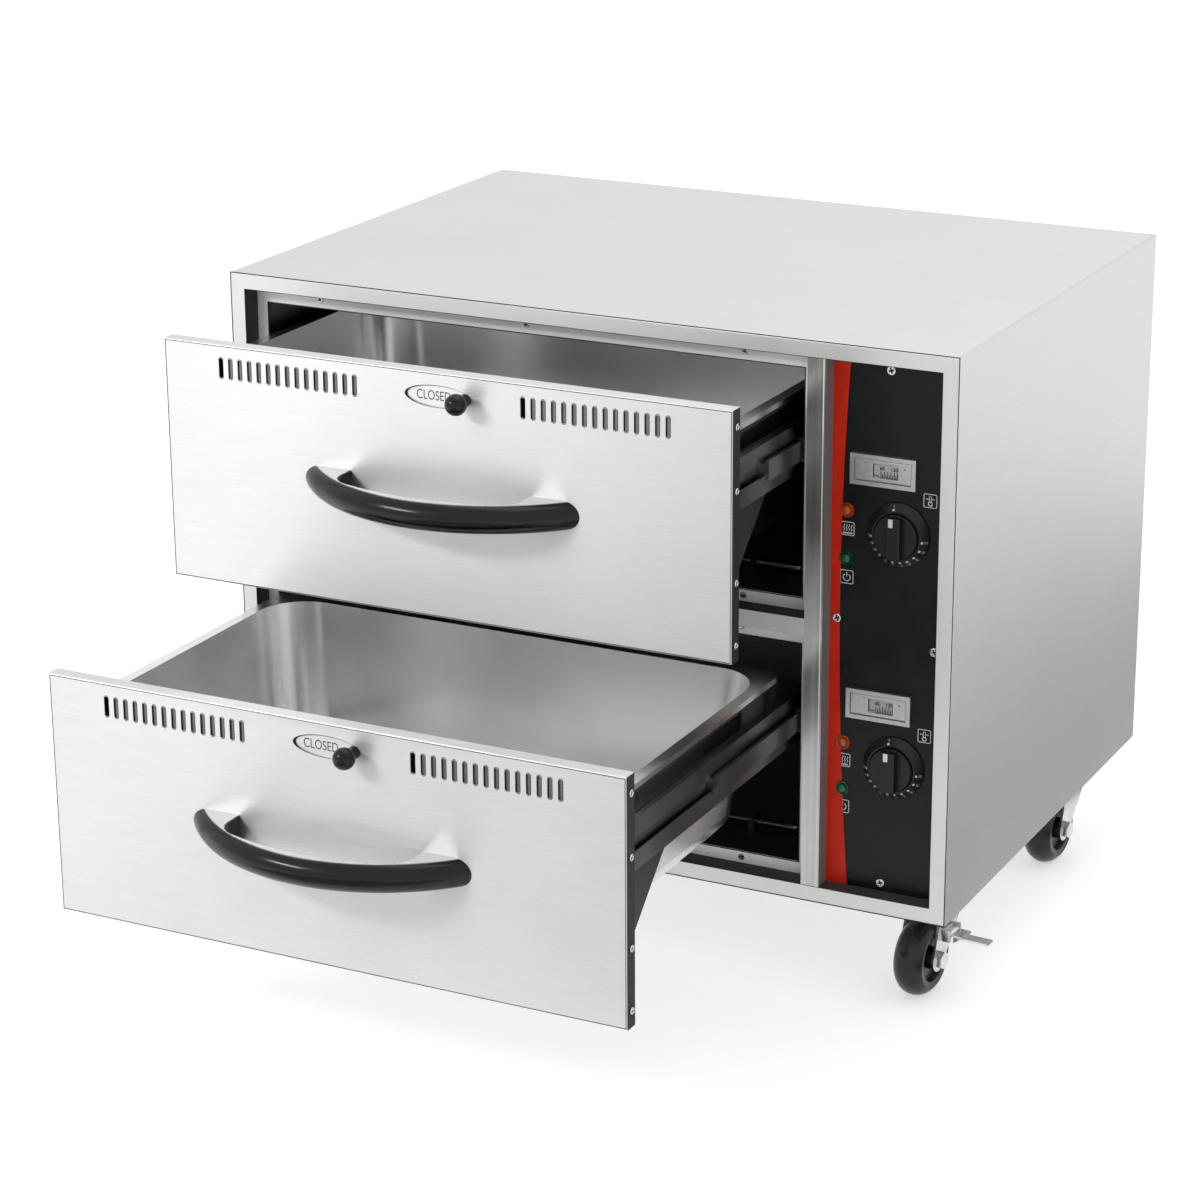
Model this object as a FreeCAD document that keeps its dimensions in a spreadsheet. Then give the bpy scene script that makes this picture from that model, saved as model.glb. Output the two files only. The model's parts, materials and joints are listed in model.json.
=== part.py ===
"""Two-drawer food warming cabinet on swivel casters, as a parametric FreeCAD document (millimetres).

X runs across the front, Y runs from the front to the back and Z is up.  The floor is z = 0, and the
origin is the middle of the floor area that the cabinet and its drawn-out drawers cover.
"""
import FreeCAD, Part
import Sketcher
import math
import operator
import os
import types

doc = FreeCAD.newDocument("WarmingDrawer")
sheet = doc.addObject("Spreadsheet::Sheet", "Sizes")

SIZES = {
    # clearances of turning and of sliding pieces
    "running_gap": 0.05,
    "moving_gap": 0.3,
    # cabinet shell
    "cabinet_width": 750,
    "cabinet_depth": 544,
    "cabinet_height": 540,
    "sheet_gauge": 1.2,
    "fold_radius": 1.8,
    "frame_face": 16,
    "mid_rail_face": 16.6,
    "mullion_face": 18,
    "control_width": 110.5,
    "reveal_depth": 22,
    "lip_width": 12,
    "liner_gauge": 1.0,
    "liner_length": 455,
    # rear panel and cable entry
    "vent_width": 60,
    "vent_height": 4,
    "vent_pitch": 12,
    "vent_count": 8,
    "inlet_radius": 11,
    "inlet_reach": 18,
    "inlet_height": 70,
    "vent_drop": 210,
    "gland_nut_radius": 15,
    "gland_thread_radius": 8,
    "gland_bore_radius": 5,
    "gland_tail": 8,
    "locknut_radius": 13,
    "locknut_length": 5,
    "terminal_width": 36,
    "terminal_depth": 22,
    "terminal_tall": 28,
    "terminal_rise": 50,
    # drawer fronts
    "front_side_gap": 5,
    "front_bottom_gap": 1.5,
    "front_top_gap": 13.5,
    "front_thickness": 14.3,
    "front_gauge": 1.0,
    "front_stop_gap": 0.5,
    "upper_pull": 153.5,
    "lower_pull": 359.1,
    # vent slots, the shutter behind them and its ball
    "slot_width": 4,
    "slot_height": 20,
    "slot_pitch": 10.15,
    "slot_count": 15,
    "slot_end_radius": 2.05,
    "slot_group_inset": 132.75,
    "slot_drop": 22.1,
    "window_length": 67,
    "window_height": 20,
    "shutter_steps": 5,
    "shutter_gauge": 0.8,
    "shutter_height": 30,
    "shutter_left_end": 66,
    "shutter_right_end": 77,
    "shutter_left_slots": 14,
    "shutter_right_slots": 9,
    "guide_width": 3,
    "guide_end": 2,
    "keeper_overlap": 2,
    "shutter_stem_radius": 2.5,
    "shutter_ball_radius": 10,
    "shutter_ball_reach": 17,
    # drawer handle
    "handle_height": 116.6,
    "handle_axis_depth": 115,
    "handle_swing_radius": 168.3,
    "handle_bulge_radius": 13.8,
    "handle_top_rise": 12.6,
    "handle_leg_gap": 92,
    "handle_leg_length": 32,
    "handle_grip_depth": 50,
    "handle_corner": 22,
    "handle_plate_gauge": 0.8,
    "handle_plate_inset": 1.2,
    # pan
    "pan_length": 333,
    "pan_rim": 11,
    "pan_depth": 140,
    "pan_taper": 16,
    "pan_corner": 48,
    "pan_flange_corner": 14,
    "pan_bottom_radius": 22,
    "pan_gauge": 1.0,
    "pan_hem": 5,
    "pan_setback": 27,
    "pan_rim_height": 203,
    # drawer frame and slides
    "frame_gauge": 1.2,
    "frame_clearance": 0.5,
    "frame_riser": 19,
    "side_ledge": 8,
    "side_tabs_from": 276,
    "side_tab_length": 46,
    "side_tab_gap": 16,
    "gusset_length": 107,
    "gusset_foot": 26,
    "rail_gauge": 1.2,
    "rail_height": 47.5,
    "rail_groove": 12.5,
    "fixed_rail_height": 22,
    "rail_centre": 152.3,
    "rail_reach": 6.5,
    "rail_play": 0.4,
    "rail_gap": 1.25,
    "rail_setback": 1,
    "fixed_rail_length": 430,
    "middle_rail_length": 410,
    "drawer_rail_length": 400,
    # control panel
    "fascia_depth": 18,
    "fascia_gauge": 1.5,
    "control_pitch": 224,
    "stripe_gauge": 0.3,
    "stripe_top": 16.5,
    "stripe_bottom": 21.5,
    "stripe_radius": 3500,
    "fascia_screw_inset": 8,
    "stripe_screw_inset": 7,
    "stripe_screw_rise": 8,
    "edge_screw_drop": 11,
    "thermometer_height": 198.5,
    "thermometer_offset": 5.1,
    "thermometer_width": 63.3,
    "thermometer_tall": 28.8,
    "thermometer_rim": 4,
    "thermometer_reach": 4,
    "thermometer_body": 24,
    "scale_offset": 2,
    "scale_width": 25,
    "scale_tall": 13.4,
    "scale_gauge": 0.3,
    "lamp_offset": 40.1,
    "amber_height": 157.6,
    "green_height": 112,
    "lamp_radius": 5.5,
    "lamp_flange": 1.5,
    "lamp_reach": 4.5,
    "lamp_body": 20,
    "lamp_chamfer": 0.6,
    "dial_height": 141,
    "dial_offset": 10.6,
    "skirt_radius": 30,
    "skirt_edge": 1.5,
    "skirt_rise": 7.2,
    "skirt_top_radius": 23.5,
    "knob_radius": 21.5,
    "knob_base": 10,
    "knob_grip": 7,
    "knob_grip_width": 14,
    "knob_rounding": 1.2,
    "knob_grip_inset": 2,
    "knob_draft": 0.7,
    "knob_chamfer": 0.8,
    "spindle_radius": 3,
    "spindle_depth": 14,
    "bush_radius": 5,
    "thermostat_width": 38,
    "thermostat_depth": 32,
    # heaters and sensors
    "heater_radius": 4,
    "heater_setback": 62,
    "heater_bend": 15,
    "heater_side_room": 22,
    "heater_clip_inset": 52,
    "heater_clip_width": 6,
    "heater_lift": 1,
    "bulb_radius": 3,
    "bulb_length": 90,
    # casters
    "caster_height": 100,
    "caster_side_inset": 43,
    "caster_end_inset": 95,
    "caster_trail": 35,
    "caster_turn": 4,
    "caster_plate_length": 72,
    "caster_plate_width": 60,
    "caster_plate_gauge": 2.5,
    "race_radius": 24,
    "race_thickness": 4,
    "race_step": 2,
    "kingpin_radius": 6,
    "bolt_radius": 5,
    "bolt_inset": 7,
    "nut_overhang": 3,
    "fork_height": 84.5,
    "fork_gauge": 2.5,
    "fork_gap": 1,
    "fork_end_radius": 12,
    "fork_shoulder": 6,
    "wheel_radius": 38,
    "wheel_width": 30,
    "wheel_crown": 9,
    "hub_radius": 23,
    "hub_recess": 6,
    "hub_boss": 4,
    "wheel_draft": 1,
    "axle_radius": 6,
    "hinge_near": 11,
    "hinge_far": 32,
    "hinge_height": 63,
    "hinge_out": 7,
    "hinge_pin_radius": 2,
    "hinge_barrel_wall": 2,
    "hinge_ear_margin": 4,
    "hinge_ear_height": 12,
    "pedal_gauge": 2,
    "pedal_arm": 12,
    "pedal_reach": 42,
    "pedal_width": 12,
    "pedal_web": 12,
    "pedal_line": 28,
    # screws
    "screw_radius": 3.4,
    "screw_rise": 1.6,
    "low_screw_rise": 0.3,
    "lip_screw_pitch": 223.7,
    "lip_screw_drop": 7.5,
    "back_screw_inset": 9,
}

for row, (alias, value) in enumerate(SIZES.items(), start=1):
    sheet.set(f"A{row}", alias)
    sheet.set(f"B{row}", str(value))
    sheet.setAlias(f"B{row}", alias)
doc.recompute()

SIGNS = {"+": operator.add, "-": operator.sub, "*": operator.mul, "/": operator.truediv}


class Size:
    """A length or an angle: its value now, and the sheet formula that gives it."""

    def __init__(self, value, formula):
        self.value = value
        self.formula = formula

    def __add__(self, other):
        return joined(self, "+", other)

    def __radd__(self, other):
        return joined(other, "+", self)

    def __sub__(self, other):
        return joined(self, "-", other)

    def __rsub__(self, other):
        return joined(other, "-", self)

    def __mul__(self, other):
        return joined(self, "*", other)

    def __rmul__(self, other):
        return joined(other, "*", self)

    def __truediv__(self, other):
        return joined(self, "/", other)

    def __neg__(self):
        return joined(0, "-", self)


def size(amount):
    return amount if isinstance(amount, Size) else Size(float(amount), repr(amount))


def joined(left, sign, right):
    left, right = size(left), size(right)
    return Size(SIGNS[sign](left.value, right.value), f"({left.formula} {sign} {right.formula})")


def root(amount):
    return Size(math.sqrt(amount.value), f"sqrt({amount.formula})")


S = types.SimpleNamespace(**{alias: Size(float(value), f"Sizes.{alias}") for alias, value in SIZES.items()})


def bind(item, field, amount):
    """Ties one field of an object to the sheet."""
    item.setExpression(field, size(amount).formula)


def put(item, x, y, z):
    """Ties an object's place to the sheet."""
    bind(item, ".Placement.Base.x", x)
    bind(item, ".Placement.Base.y", y)
    bind(item, ".Placement.Base.z", z)


# ---------------------------------------------------------------------------------------------------
# Places that several pieces share
# ---------------------------------------------------------------------------------------------------
HALF = S.cabinet_width / 2
SETBACK = S.reveal_depth - S.front_thickness - S.front_stop_gap
HANDLE_REACH = S.handle_swing_radius + S.handle_bulge_radius - S.handle_axis_depth
FRONT = (S.lower_pull - SETBACK + HANDLE_REACH - S.cabinet_depth - S.inlet_reach) / 2
BACK = FRONT + S.cabinet_depth
LIP = FRONT + S.reveal_depth
BASE = S.caster_height
TOP = BASE + S.cabinet_height
WALL = S.sheet_gauge

BAY_LEFT = S.frame_face - HALF
CONTROL_RIGHT = HALF - S.frame_face
CONTROL_LEFT = CONTROL_RIGHT - S.control_width
CONTROL_CENTRE = CONTROL_LEFT + S.control_width / 2
BAY_RIGHT = CONTROL_LEFT - S.mullion_face
BAY_CENTRE = (BAY_LEFT + BAY_RIGHT) / 2
BAY_HALF = (BAY_RIGHT - BAY_LEFT) / 2
OPENING_HEIGHT = (S.cabinet_height - 2 * S.frame_face - S.mid_rail_face) / 2
SILL = {"lower": BASE + S.frame_face}
SILL["upper"] = SILL["lower"] + OPENING_HEIGHT + S.mid_rail_face
FRAME_TOP = SILL["upper"] + OPENING_HEIGHT
LEVELS = ("upper", "lower")
CONTROL_SHIFT = {"lower": size(0), "upper": S.control_pitch}

LINER_HALF = BAY_HALF - S.lip_width
LINER_FRONT = LIP + WALL
LINER_BACK = LINER_FRONT + S.liner_length
LINER_TALL = OPENING_HEIGHT - 2 * S.lip_width
FRONT_HALF = BAY_HALF - S.front_side_gap
FRONT_TALL = OPENING_HEIGHT - S.front_bottom_gap - S.front_top_gap
SLOT_LINE = FRONT_TALL - S.slot_drop
PULL = {"upper": S.upper_pull, "lower": S.lower_pull}
FACE = {level: FRONT + SETBACK - PULL[level] for level in LEVELS}
SHUTTER_TRAVEL = (S.shutter_steps + 0.5) * S.slot_pitch
SHUTTER_BACK = S.front_gauge + S.moving_gap + S.shutter_gauge
SLOT_GROUP = FRONT_HALF - S.slot_group_inset
SHUTTER_LEFT = SLOT_GROUP + S.shutter_left_end
SHUTTER_RIGHT = SLOT_GROUP + S.shutter_right_end

FRAME_HALF = LINER_HALF - 2 * S.rail_reach - S.rail_gap
PAN_HALF = FRAME_HALF + S.frame_clearance + S.pan_gauge
RAIL_LOW = S.rail_centre - S.rail_height / 2
RAIL_HIGH = S.rail_centre + S.rail_height / 2
PAN_BACK = S.pan_setback + S.pan_length
FASCIA = FRONT + S.fascia_depth


# ---------------------------------------------------------------------------------------------------
# Part primitives bound to the sheet
# ---------------------------------------------------------------------------------------------------
TURN_TO = {
    "+x": FreeCAD.Rotation(FreeCAD.Vector(0, 1, 0), 90),
    "-x": FreeCAD.Rotation(FreeCAD.Vector(0, 1, 0), -90),
    "+y": FreeCAD.Rotation(FreeCAD.Vector(1, 0, 0), -90),
    "-y": FreeCAD.Rotation(FreeCAD.Vector(1, 0, 0), 90),
    "+z": FreeCAD.Rotation(),
    "-z": FreeCAD.Rotation(FreeCAD.Vector(1, 0, 0), 180),
}
SIDES = (-1, 1)


def span_box(box, x, y, z):
    """Sizes a box to the spans on each axis."""
    bind(box, "Length", x[1] - x[0])
    bind(box, "Width", y[1] - y[0])
    bind(box, "Height", z[1] - z[0])
    put(box, x[0], y[0], z[0])
    return box


def block(x, y, z, name="Plate"):
    return span_box(doc.addObject("Part::Box", name), x, y, z)


def rod(way, at, radius, length, name="Rod"):
    """A cylinder that starts at a point and runs one way."""
    item = doc.addObject("Part::Cylinder", name)
    item.Placement = FreeCAD.Placement(FreeCAD.Vector(), TURN_TO[way])
    bind(item, "Radius", radius)
    bind(item, "Height", length)
    put(item, *at)
    return item


def screw(way, at, rise=S.screw_rise):
    """The domed head of a screw, seated at a point and facing one way."""
    head = doc.addObject("Part::Cone", "Screw")
    head.Placement = FreeCAD.Placement(FreeCAD.Vector(), TURN_TO[way])
    bind(head, "Radius1", S.screw_radius)
    bind(head, "Radius2", S.screw_radius * 0.65)
    bind(head, "Height", rise)
    put(head, *at)
    return head


def named(kind, label):
    item = doc.addObject(kind, label)
    item.Label = label
    return item


def group(label, pieces):
    """Separate solids in one object."""
    item = named("Part::Compound", label)
    item.Links = pieces
    return item


def fuse(label, pieces):
    """One solid made of several."""
    item = named("Part::MultiFuse", label)
    item.Shapes = pieces
    item.Refine = True
    return item


def cut(label, base, tools):
    """A solid with others taken out of it."""
    item = named("Part::Cut", label)
    item.Base = base
    item.Tool = tools[0] if len(tools) == 1 else group(f"{label}_rooms", tools)
    item.Refine = True
    return item


def side_span(side, near, far):
    """The X span between two distances to the left or the right of the middle of the bay."""
    return (BAY_CENTRE + near, BAY_CENTRE + far) if side > 0 else (BAY_CENTRE - far, BAY_CENTRE - near)


def about(middle, half):
    return (middle - half, middle + half)


# ---------------------------------------------------------------------------------------------------
# PartDesign bodies bound to the sheet
# ---------------------------------------------------------------------------------------------------
def new_body(label, x=0, y=0, z=0):
    body = named("PartDesign::Body", label)
    put(body, x, y, z)
    return body


def add_box(body, x, y, z, name="Block"):
    return span_box(body.newObject("PartDesign::AdditiveBox", name), x, y, z)


def cut_box(body, x, y, z, name="Room"):
    return span_box(body.newObject("PartDesign::SubtractiveBox", name), x, y, z)


def round_tool(body, kind, way, at, radius, length):
    item = body.newObject(f"PartDesign::{kind}", kind)
    item.Placement = FreeCAD.Placement(FreeCAD.Vector(), TURN_TO[way])
    bind(item, "Radius", radius)
    bind(item, "Height", length)
    put(item, *at)
    return item


def add_rod(body, way, at, radius, length):
    return round_tool(body, "AdditiveCylinder", way, at, radius, length)


def cut_rod(body, way, at, radius, length):
    return round_tool(body, "SubtractiveCylinder", way, at, radius, length)


def add_nut(body, way, at, radius, length):
    """A hexagonal nut or bolt head."""
    item = body.newObject("PartDesign::AdditivePrism", "Hexagon")
    item.Placement = FreeCAD.Placement(FreeCAD.Vector(), TURN_TO[way])
    item.Polygon = 6
    bind(item, "Circumradius", radius)
    bind(item, "Height", length)
    put(item, *at)
    return item


def round_edges(body, radius, chosen, name="Rounding"):
    """Fillets the edges of the body so far that a test picks."""
    doc.recompute()
    base = body.Tip
    bounds = FreeCAD.BoundBox()
    for vertex in base.Shape.Vertexes:
        bounds.add(vertex.Point)
    edges = [f"Edge{n}" for n, edge in enumerate(base.Shape.Edges, start=1) if chosen(edge, bounds)]
    fillet = body.newObject("PartDesign::Fillet", name)
    fillet.Base = (base, edges)
    bind(fillet, "Radius", radius)
    return fillet


def runs_along(edge, axis):
    """Whether an edge is straight and parallel to an axis."""
    if len(edge.Vertexes) != 2:
        return False
    way = edge.Vertexes[1].Point - edge.Vertexes[0].Point
    return way.Length > 0 and abs(abs(way[axis]) - way.Length) < 1e-6 and abs(edge.Length - way.Length) < 1e-6


def upright(edge, bounds):
    return runs_along(edge, 2)


def sketch_on(body, role, name="Sketch"):
    plane = next(feature for feature in body.Origin.OriginFeatures if feature.Role == role)
    sketch = body.newObject("Sketcher::SketchObject", name)
    sketch.AttachmentSupport = [(plane, "")]
    sketch.MapMode = "FlatFace"
    return sketch


def outline(sketch, points, arcs=None, closed=True):
    """A line of straight and curved edges through points whose coordinates are sizes.

    arcs maps the number of an edge to (radius, side); side is 1 when the arc bulges to the left of the
    way the outline runs and -1 when it bulges to the right.
    """
    arcs = arcs or {}
    points = [(size(u), size(v)) for u, v in points]
    spots = [FreeCAD.Vector(u.value, v.value, 0) for u, v in points]
    if closed:
        points.append(points[0])
        spots.append(spots[0])
    ends = []
    for n, (start, finish) in enumerate(zip(spots, spots[1:])):
        if n not in arcs:
            ends.append((sketch.addGeometry(Part.LineSegment(start, finish)), 1, 2))
            continue
        radius, side = arcs[n]
        chord = finish - start
        rise = radius.value - math.sqrt(radius.value ** 2 - chord.Length ** 2 / 4)
        left = FreeCAD.Vector(-chord.y, chord.x, 0).normalize()
        edge = sketch.addGeometry(Part.Arc(start, start + chord / 2 + left * (side * rise), finish))
        rule = sketch.addConstraint(Sketcher.Constraint("Radius", edge, radius.value))
        bind(sketch, f"Constraints[{rule}]", radius)
        ends.append((edge, 1, 2) if side < 0 else (edge, 2, 1))
    for n, (edge, first, last) in enumerate(ends):
        pinned = [(first, points[n])]
        if n + 1 < len(ends):
            sketch.addConstraint(Sketcher.Constraint("Coincident", edge, last, *ends[n + 1][:2]))
        elif closed:
            sketch.addConstraint(Sketcher.Constraint("Coincident", edge, last, *ends[0][:2]))
        else:
            pinned.append((last, points[n + 1]))
        for end, place in pinned:
            for kind, amount in zip(("DistanceX", "DistanceY"), place):
                rule = sketch.addConstraint(Sketcher.Constraint(kind, -1, 1, edge, end, amount.value))
                bind(sketch, f"Constraints[{rule}]", amount)
    return sketch


def pad(body, sketch, length, name="Pad"):
    """Thickens a sketch by half of a length to each side of its plane."""
    item = body.newObject("PartDesign::Pad", name)
    item.Profile = sketch
    bind(item, "Length", length)
    item.Midplane = True
    return item


def pocket(body, sketch, length, name="Pocket"):
    """Cuts a sketch's outline by half of a length to each side of its plane."""
    item = body.newObject("PartDesign::Pocket", name)
    item.Profile = sketch
    bind(item, "Length", length)
    item.Midplane = True
    return item


def revolve(body, sketch, axis="V_Axis", name="Turning"):
    item = body.newObject("PartDesign::Revolution", name)
    item.Profile = sketch
    item.ReferenceAxis = (sketch, [axis])
    item.Angle = 360
    return item


def cut_slot(body, x, depth, name="Slot"):
    """An upright vent slot with round ends, through everything up to a depth behind the face."""
    half = S.slot_width / 2
    straight = (S.slot_height - S.slot_width) / 2
    shape = outline(sketch_on(body, "XZ_Plane"), [
        (x - half, SLOT_LINE - straight), (x + half, SLOT_LINE - straight),
        (x + half, SLOT_LINE + straight), (x - half, SLOT_LINE + straight),
    ], {0: (S.slot_end_radius, -1), 2: (S.slot_end_radius, -1)})
    return pocket(body, shape, 2 * depth, name)


def row_of(body, feature, count, pitch, role="X_Axis", name="Row"):
    """Repeats a feature at a pitch along one axis of the body."""
    axis = next(feature for feature in body.Origin.OriginFeatures if feature.Role == role)
    pattern = body.newObject("PartDesign::LinearPattern", name)
    pattern.Originals = [feature]
    pattern.Direction = (axis, [""])
    bind(pattern, "Length", (count - 1) * pitch)
    bind(pattern, "Occurrences", count)
    body.Tip = pattern
    return pattern


NODES = []


def keep(item):
    """Marks an object as one sub-part of the product."""
    NODES.append(item)
    return item


# ---------------------------------------------------------------------------------------------------
# Cabinet shell
# ---------------------------------------------------------------------------------------------------
INSIDE_X = (WALL - HALF, HALF - WALL)
OPEN_X = (BAY_LEFT, CONTROL_RIGHT)
OPEN_Z = (SILL["lower"], FRAME_TOP)

wrapper = keep(new_body("outer_wrapper"))
add_box(wrapper, (-HALF, HALF), (FRONT, BACK), (BASE, TOP), "Folded_sheet")


def outer_fold(edge, bounds):
    """The edges around the front, and the two long edges of the top."""
    low, high = edge.BoundBox.YMin, edge.BoundBox.YMax
    in_front = high < bounds.YMin + 1e-6
    along_top = high - low > 1 and edge.BoundBox.ZMin > bounds.ZMax - 1e-6
    return in_front or along_top


round_edges(wrapper, S.fold_radius, outer_fold)
cut_box(wrapper, INSIDE_X, (FRONT + WALL, BACK), (BASE, TOP - WALL), "Inside")
add_box(wrapper, (BAY_LEFT - WALL, CONTROL_RIGHT + WALL), (FRONT, LIP),
        (OPEN_Z[0] - WALL, OPEN_Z[1] + WALL), "Return_flanges")
cut_box(wrapper, OPEN_X, (FRONT, LIP), OPEN_Z, "Front_opening")
add_box(wrapper, INSIDE_X, (FRONT + WALL, FRONT + 2 * S.frame_face), (BASE, BASE + WALL), "Bottom_flange")

base_pan = keep(block(INSIDE_X, (FRONT + 2 * S.frame_face, BACK - WALL), (BASE, BASE + WALL)))
base_pan.Label = "base_pan"

back_panel = keep(new_body("back_panel"))
add_box(back_panel, INSIDE_X, (BACK - WALL, BACK), (BASE, TOP - WALL), "Panel")
VENT_Z = TOP - S.vent_drop
vent = cut_box(back_panel, about(CONTROL_CENTRE, S.vent_width / 2), (BACK - WALL, BACK),
               (VENT_Z, VENT_Z + S.vent_height), "Vent")
row_of(back_panel, vent, S.vent_count, S.vent_pitch, "Z_Axis", "Vents")
INLET = (CONTROL_CENTRE, BASE + S.inlet_height)
cut_rod(back_panel, "+y", (INLET[0], BACK - WALL, INLET[1]), S.gland_thread_radius, WALL)

mullion = keep(new_body("mullion"))
add_box(mullion, (BAY_RIGHT, CONTROL_LEFT), (FRONT, LIP), OPEN_Z, "Face")
cut_box(mullion, (BAY_RIGHT + WALL, CONTROL_LEFT - WALL), (FRONT + WALL, LIP), OPEN_Z, "Fold")
add_box(mullion, (CONTROL_LEFT - WALL, CONTROL_LEFT), (LIP, LIP + S.frame_face), OPEN_Z, "Step")
add_box(mullion, (CONTROL_LEFT - WALL, CONTROL_LEFT), (LIP + S.frame_face, BACK - WALL),
        (BASE + WALL, TOP - WALL), "Partition")

MID_Z = (SILL["upper"] - S.mid_rail_face, SILL["upper"])
mid_rail = keep(new_body("mid_rail"))
add_box(mid_rail, (BAY_LEFT, BAY_RIGHT), (FRONT, LIP), MID_Z, "Face")
cut_box(mid_rail, (BAY_LEFT, BAY_RIGHT), (FRONT + WALL, LIP), (MID_Z[0] + WALL, MID_Z[1] - WALL), "Fold")

lips = []
liner_rooms = []
for level in LEVELS:
    sill = SILL[level]
    lip_plate = block((BAY_LEFT - WALL, BAY_RIGHT + WALL), (LIP, LIP + WALL),
                      (sill - WALL, sill + OPENING_HEIGHT + WALL))
    inner_z = (sill + S.lip_width, sill + S.lip_width + LINER_TALL)
    lip_room = block(about(BAY_CENTRE, LINER_HALF), (LIP, LIP + WALL), inner_z)
    lips.append(cut(f"{level}_lip", lip_plate, [lip_room]))
    outer_x = about(BAY_CENTRE, LINER_HALF + S.liner_gauge)
    outer_y = (LINER_FRONT, LINER_BACK + S.liner_gauge)
    outer_z = (inner_z[0] - S.liner_gauge, inner_z[1] + S.liner_gauge)
    liner_rooms.append(block(outer_x, outer_y, outer_z))
    liner = keep(new_body(f"{level}_liner"))
    add_box(liner, outer_x, outer_y, outer_z, "Folded_box")
    cut_box(liner, about(BAY_CENTRE, LINER_HALF), (LINER_FRONT, LINER_BACK), inner_z, "Cavity")
keep(group("lip_frames", lips))

wool = block((WALL - HALF, CONTROL_LEFT - WALL), (LINER_FRONT + S.frame_face, BACK - WALL),
             (BASE + WALL, TOP - WALL))
keep(cut("insulation", wool, liner_rooms))

# ---------------------------------------------------------------------------------------------------
# Heaters and sensors in the two cavities
# ---------------------------------------------------------------------------------------------------
for level in LEVELS:
    floor = SILL[level] + S.lip_width
    heater = keep(new_body(f"{level}_heater", BAY_CENTRE, LINER_FRONT + S.heater_setback,
                           floor + S.heater_radius + S.heater_lift))
    reach = S.liner_length - S.heater_setback
    half = LINER_HALF - S.heater_side_room
    bend = S.heater_bend
    path = outline(sketch_on(heater, "XY_Plane", "Tube_path"), [
        (-half, reach), (-half, bend), (bend - half, 0), (half - bend, 0), (half, bend), (half, reach),
    ], {1: (bend, -1), 3: (bend, -1)}, closed=False)
    ring = sketch_on(heater, "YZ_Plane", "Tube_section")
    section = ring.addGeometry(Part.Circle(FreeCAD.Vector(), FreeCAD.Vector(0, 0, 1), S.heater_radius.value))
    ring.addConstraint(Sketcher.Constraint("Coincident", section, 3, -1, 1))
    rule = ring.addConstraint(Sketcher.Constraint("Radius", section, S.heater_radius.value))
    bind(ring, f"Constraints[{rule}]", S.heater_radius)
    tube = heater.newObject("PartDesign::AdditivePipe", "Tube")
    tube.Profile = ring
    tube.Spine = (path, [f"Edge{n}" for n in range(1, 6)])
    for side in SIDES:
        for along in (0.25, 0.8):
            clip_x = about(side * half, S.heater_radius * 1.6)
            clip_y = about(reach * along, S.heater_radius)
            add_box(heater, clip_x, clip_y, (-S.heater_radius - S.heater_lift, size(0)), "Clip")
        front_clip = about(side * (half - S.heater_clip_inset), S.heater_clip_width / 2)
        add_box(heater, front_clip, about(0, 2 * S.heater_radius),
                (-S.heater_radius - S.heater_lift, S.heater_radius + S.heater_lift), "Front_clip")

bulbs = []
for level in LEVELS:
    wall_x = BAY_CENTRE + LINER_HALF
    bulb_z = SILL[level] + S.lip_width + 6 * S.bulb_radius
    bulb_y = LINER_FRONT + S.liner_length / 2
    bulb_x = wall_x - 2 * S.bulb_radius
    pieces = [rod("+y", (bulb_x, bulb_y, bulb_z), S.bulb_radius, S.bulb_length, "Bulb")]
    for along in (0.2, 0.8):
        clip_y = about(bulb_y + S.bulb_length * along, S.bulb_radius)
        pieces.append(block((bulb_x, wall_x), clip_y, about(bulb_z, S.bulb_radius / 2), "Clip"))
    bulbs.append(fuse(f"{level}_bulb", pieces))
keep(group("thermostat_bulbs", bulbs))

# ---------------------------------------------------------------------------------------------------
# Control panel
# ---------------------------------------------------------------------------------------------------
DIAL_X = CONTROL_CENTRE + S.dial_offset
GAUGE_X = CONTROL_CENTRE - S.thermometer_offset
LAMP_X = CONTROL_CENTRE - S.lamp_offset
DIAL_Z = {level: BASE + S.dial_height + CONTROL_SHIFT[level] for level in LEVELS}
GAUGE_Z = {level: BASE + S.thermometer_height + CONTROL_SHIFT[level] for level in LEVELS}
AMBER_Z = {level: BASE + S.amber_height + CONTROL_SHIFT[level] for level in LEVELS}
GREEN_Z = {level: BASE + S.green_height + CONTROL_SHIFT[level] for level in LEVELS}
FASCIA_Y = (FASCIA, FASCIA + S.fascia_gauge)
CASE_HALF = (S.thermometer_width / 2 - S.thermometer_rim, S.thermometer_tall / 2 - S.thermometer_rim)

fascia = keep(new_body("control_fascia"))
add_box(fascia, (CONTROL_LEFT, CONTROL_RIGHT), FASCIA_Y, OPEN_Z, "Panel")
for level in LEVELS:
    cut_box(fascia, about(GAUGE_X, CASE_HALF[0]), FASCIA_Y, about(GAUGE_Z[level], CASE_HALF[1]))
    cut_rod(fascia, "+y", (DIAL_X, FASCIA, DIAL_Z[level]), S.bush_radius, S.fascia_gauge)
    for lamp_z in (AMBER_Z[level], GREEN_Z[level]):
        cut_rod(fascia, "+y", (LAMP_X, FASCIA, lamp_z), S.lamp_radius, S.fascia_gauge)

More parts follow.
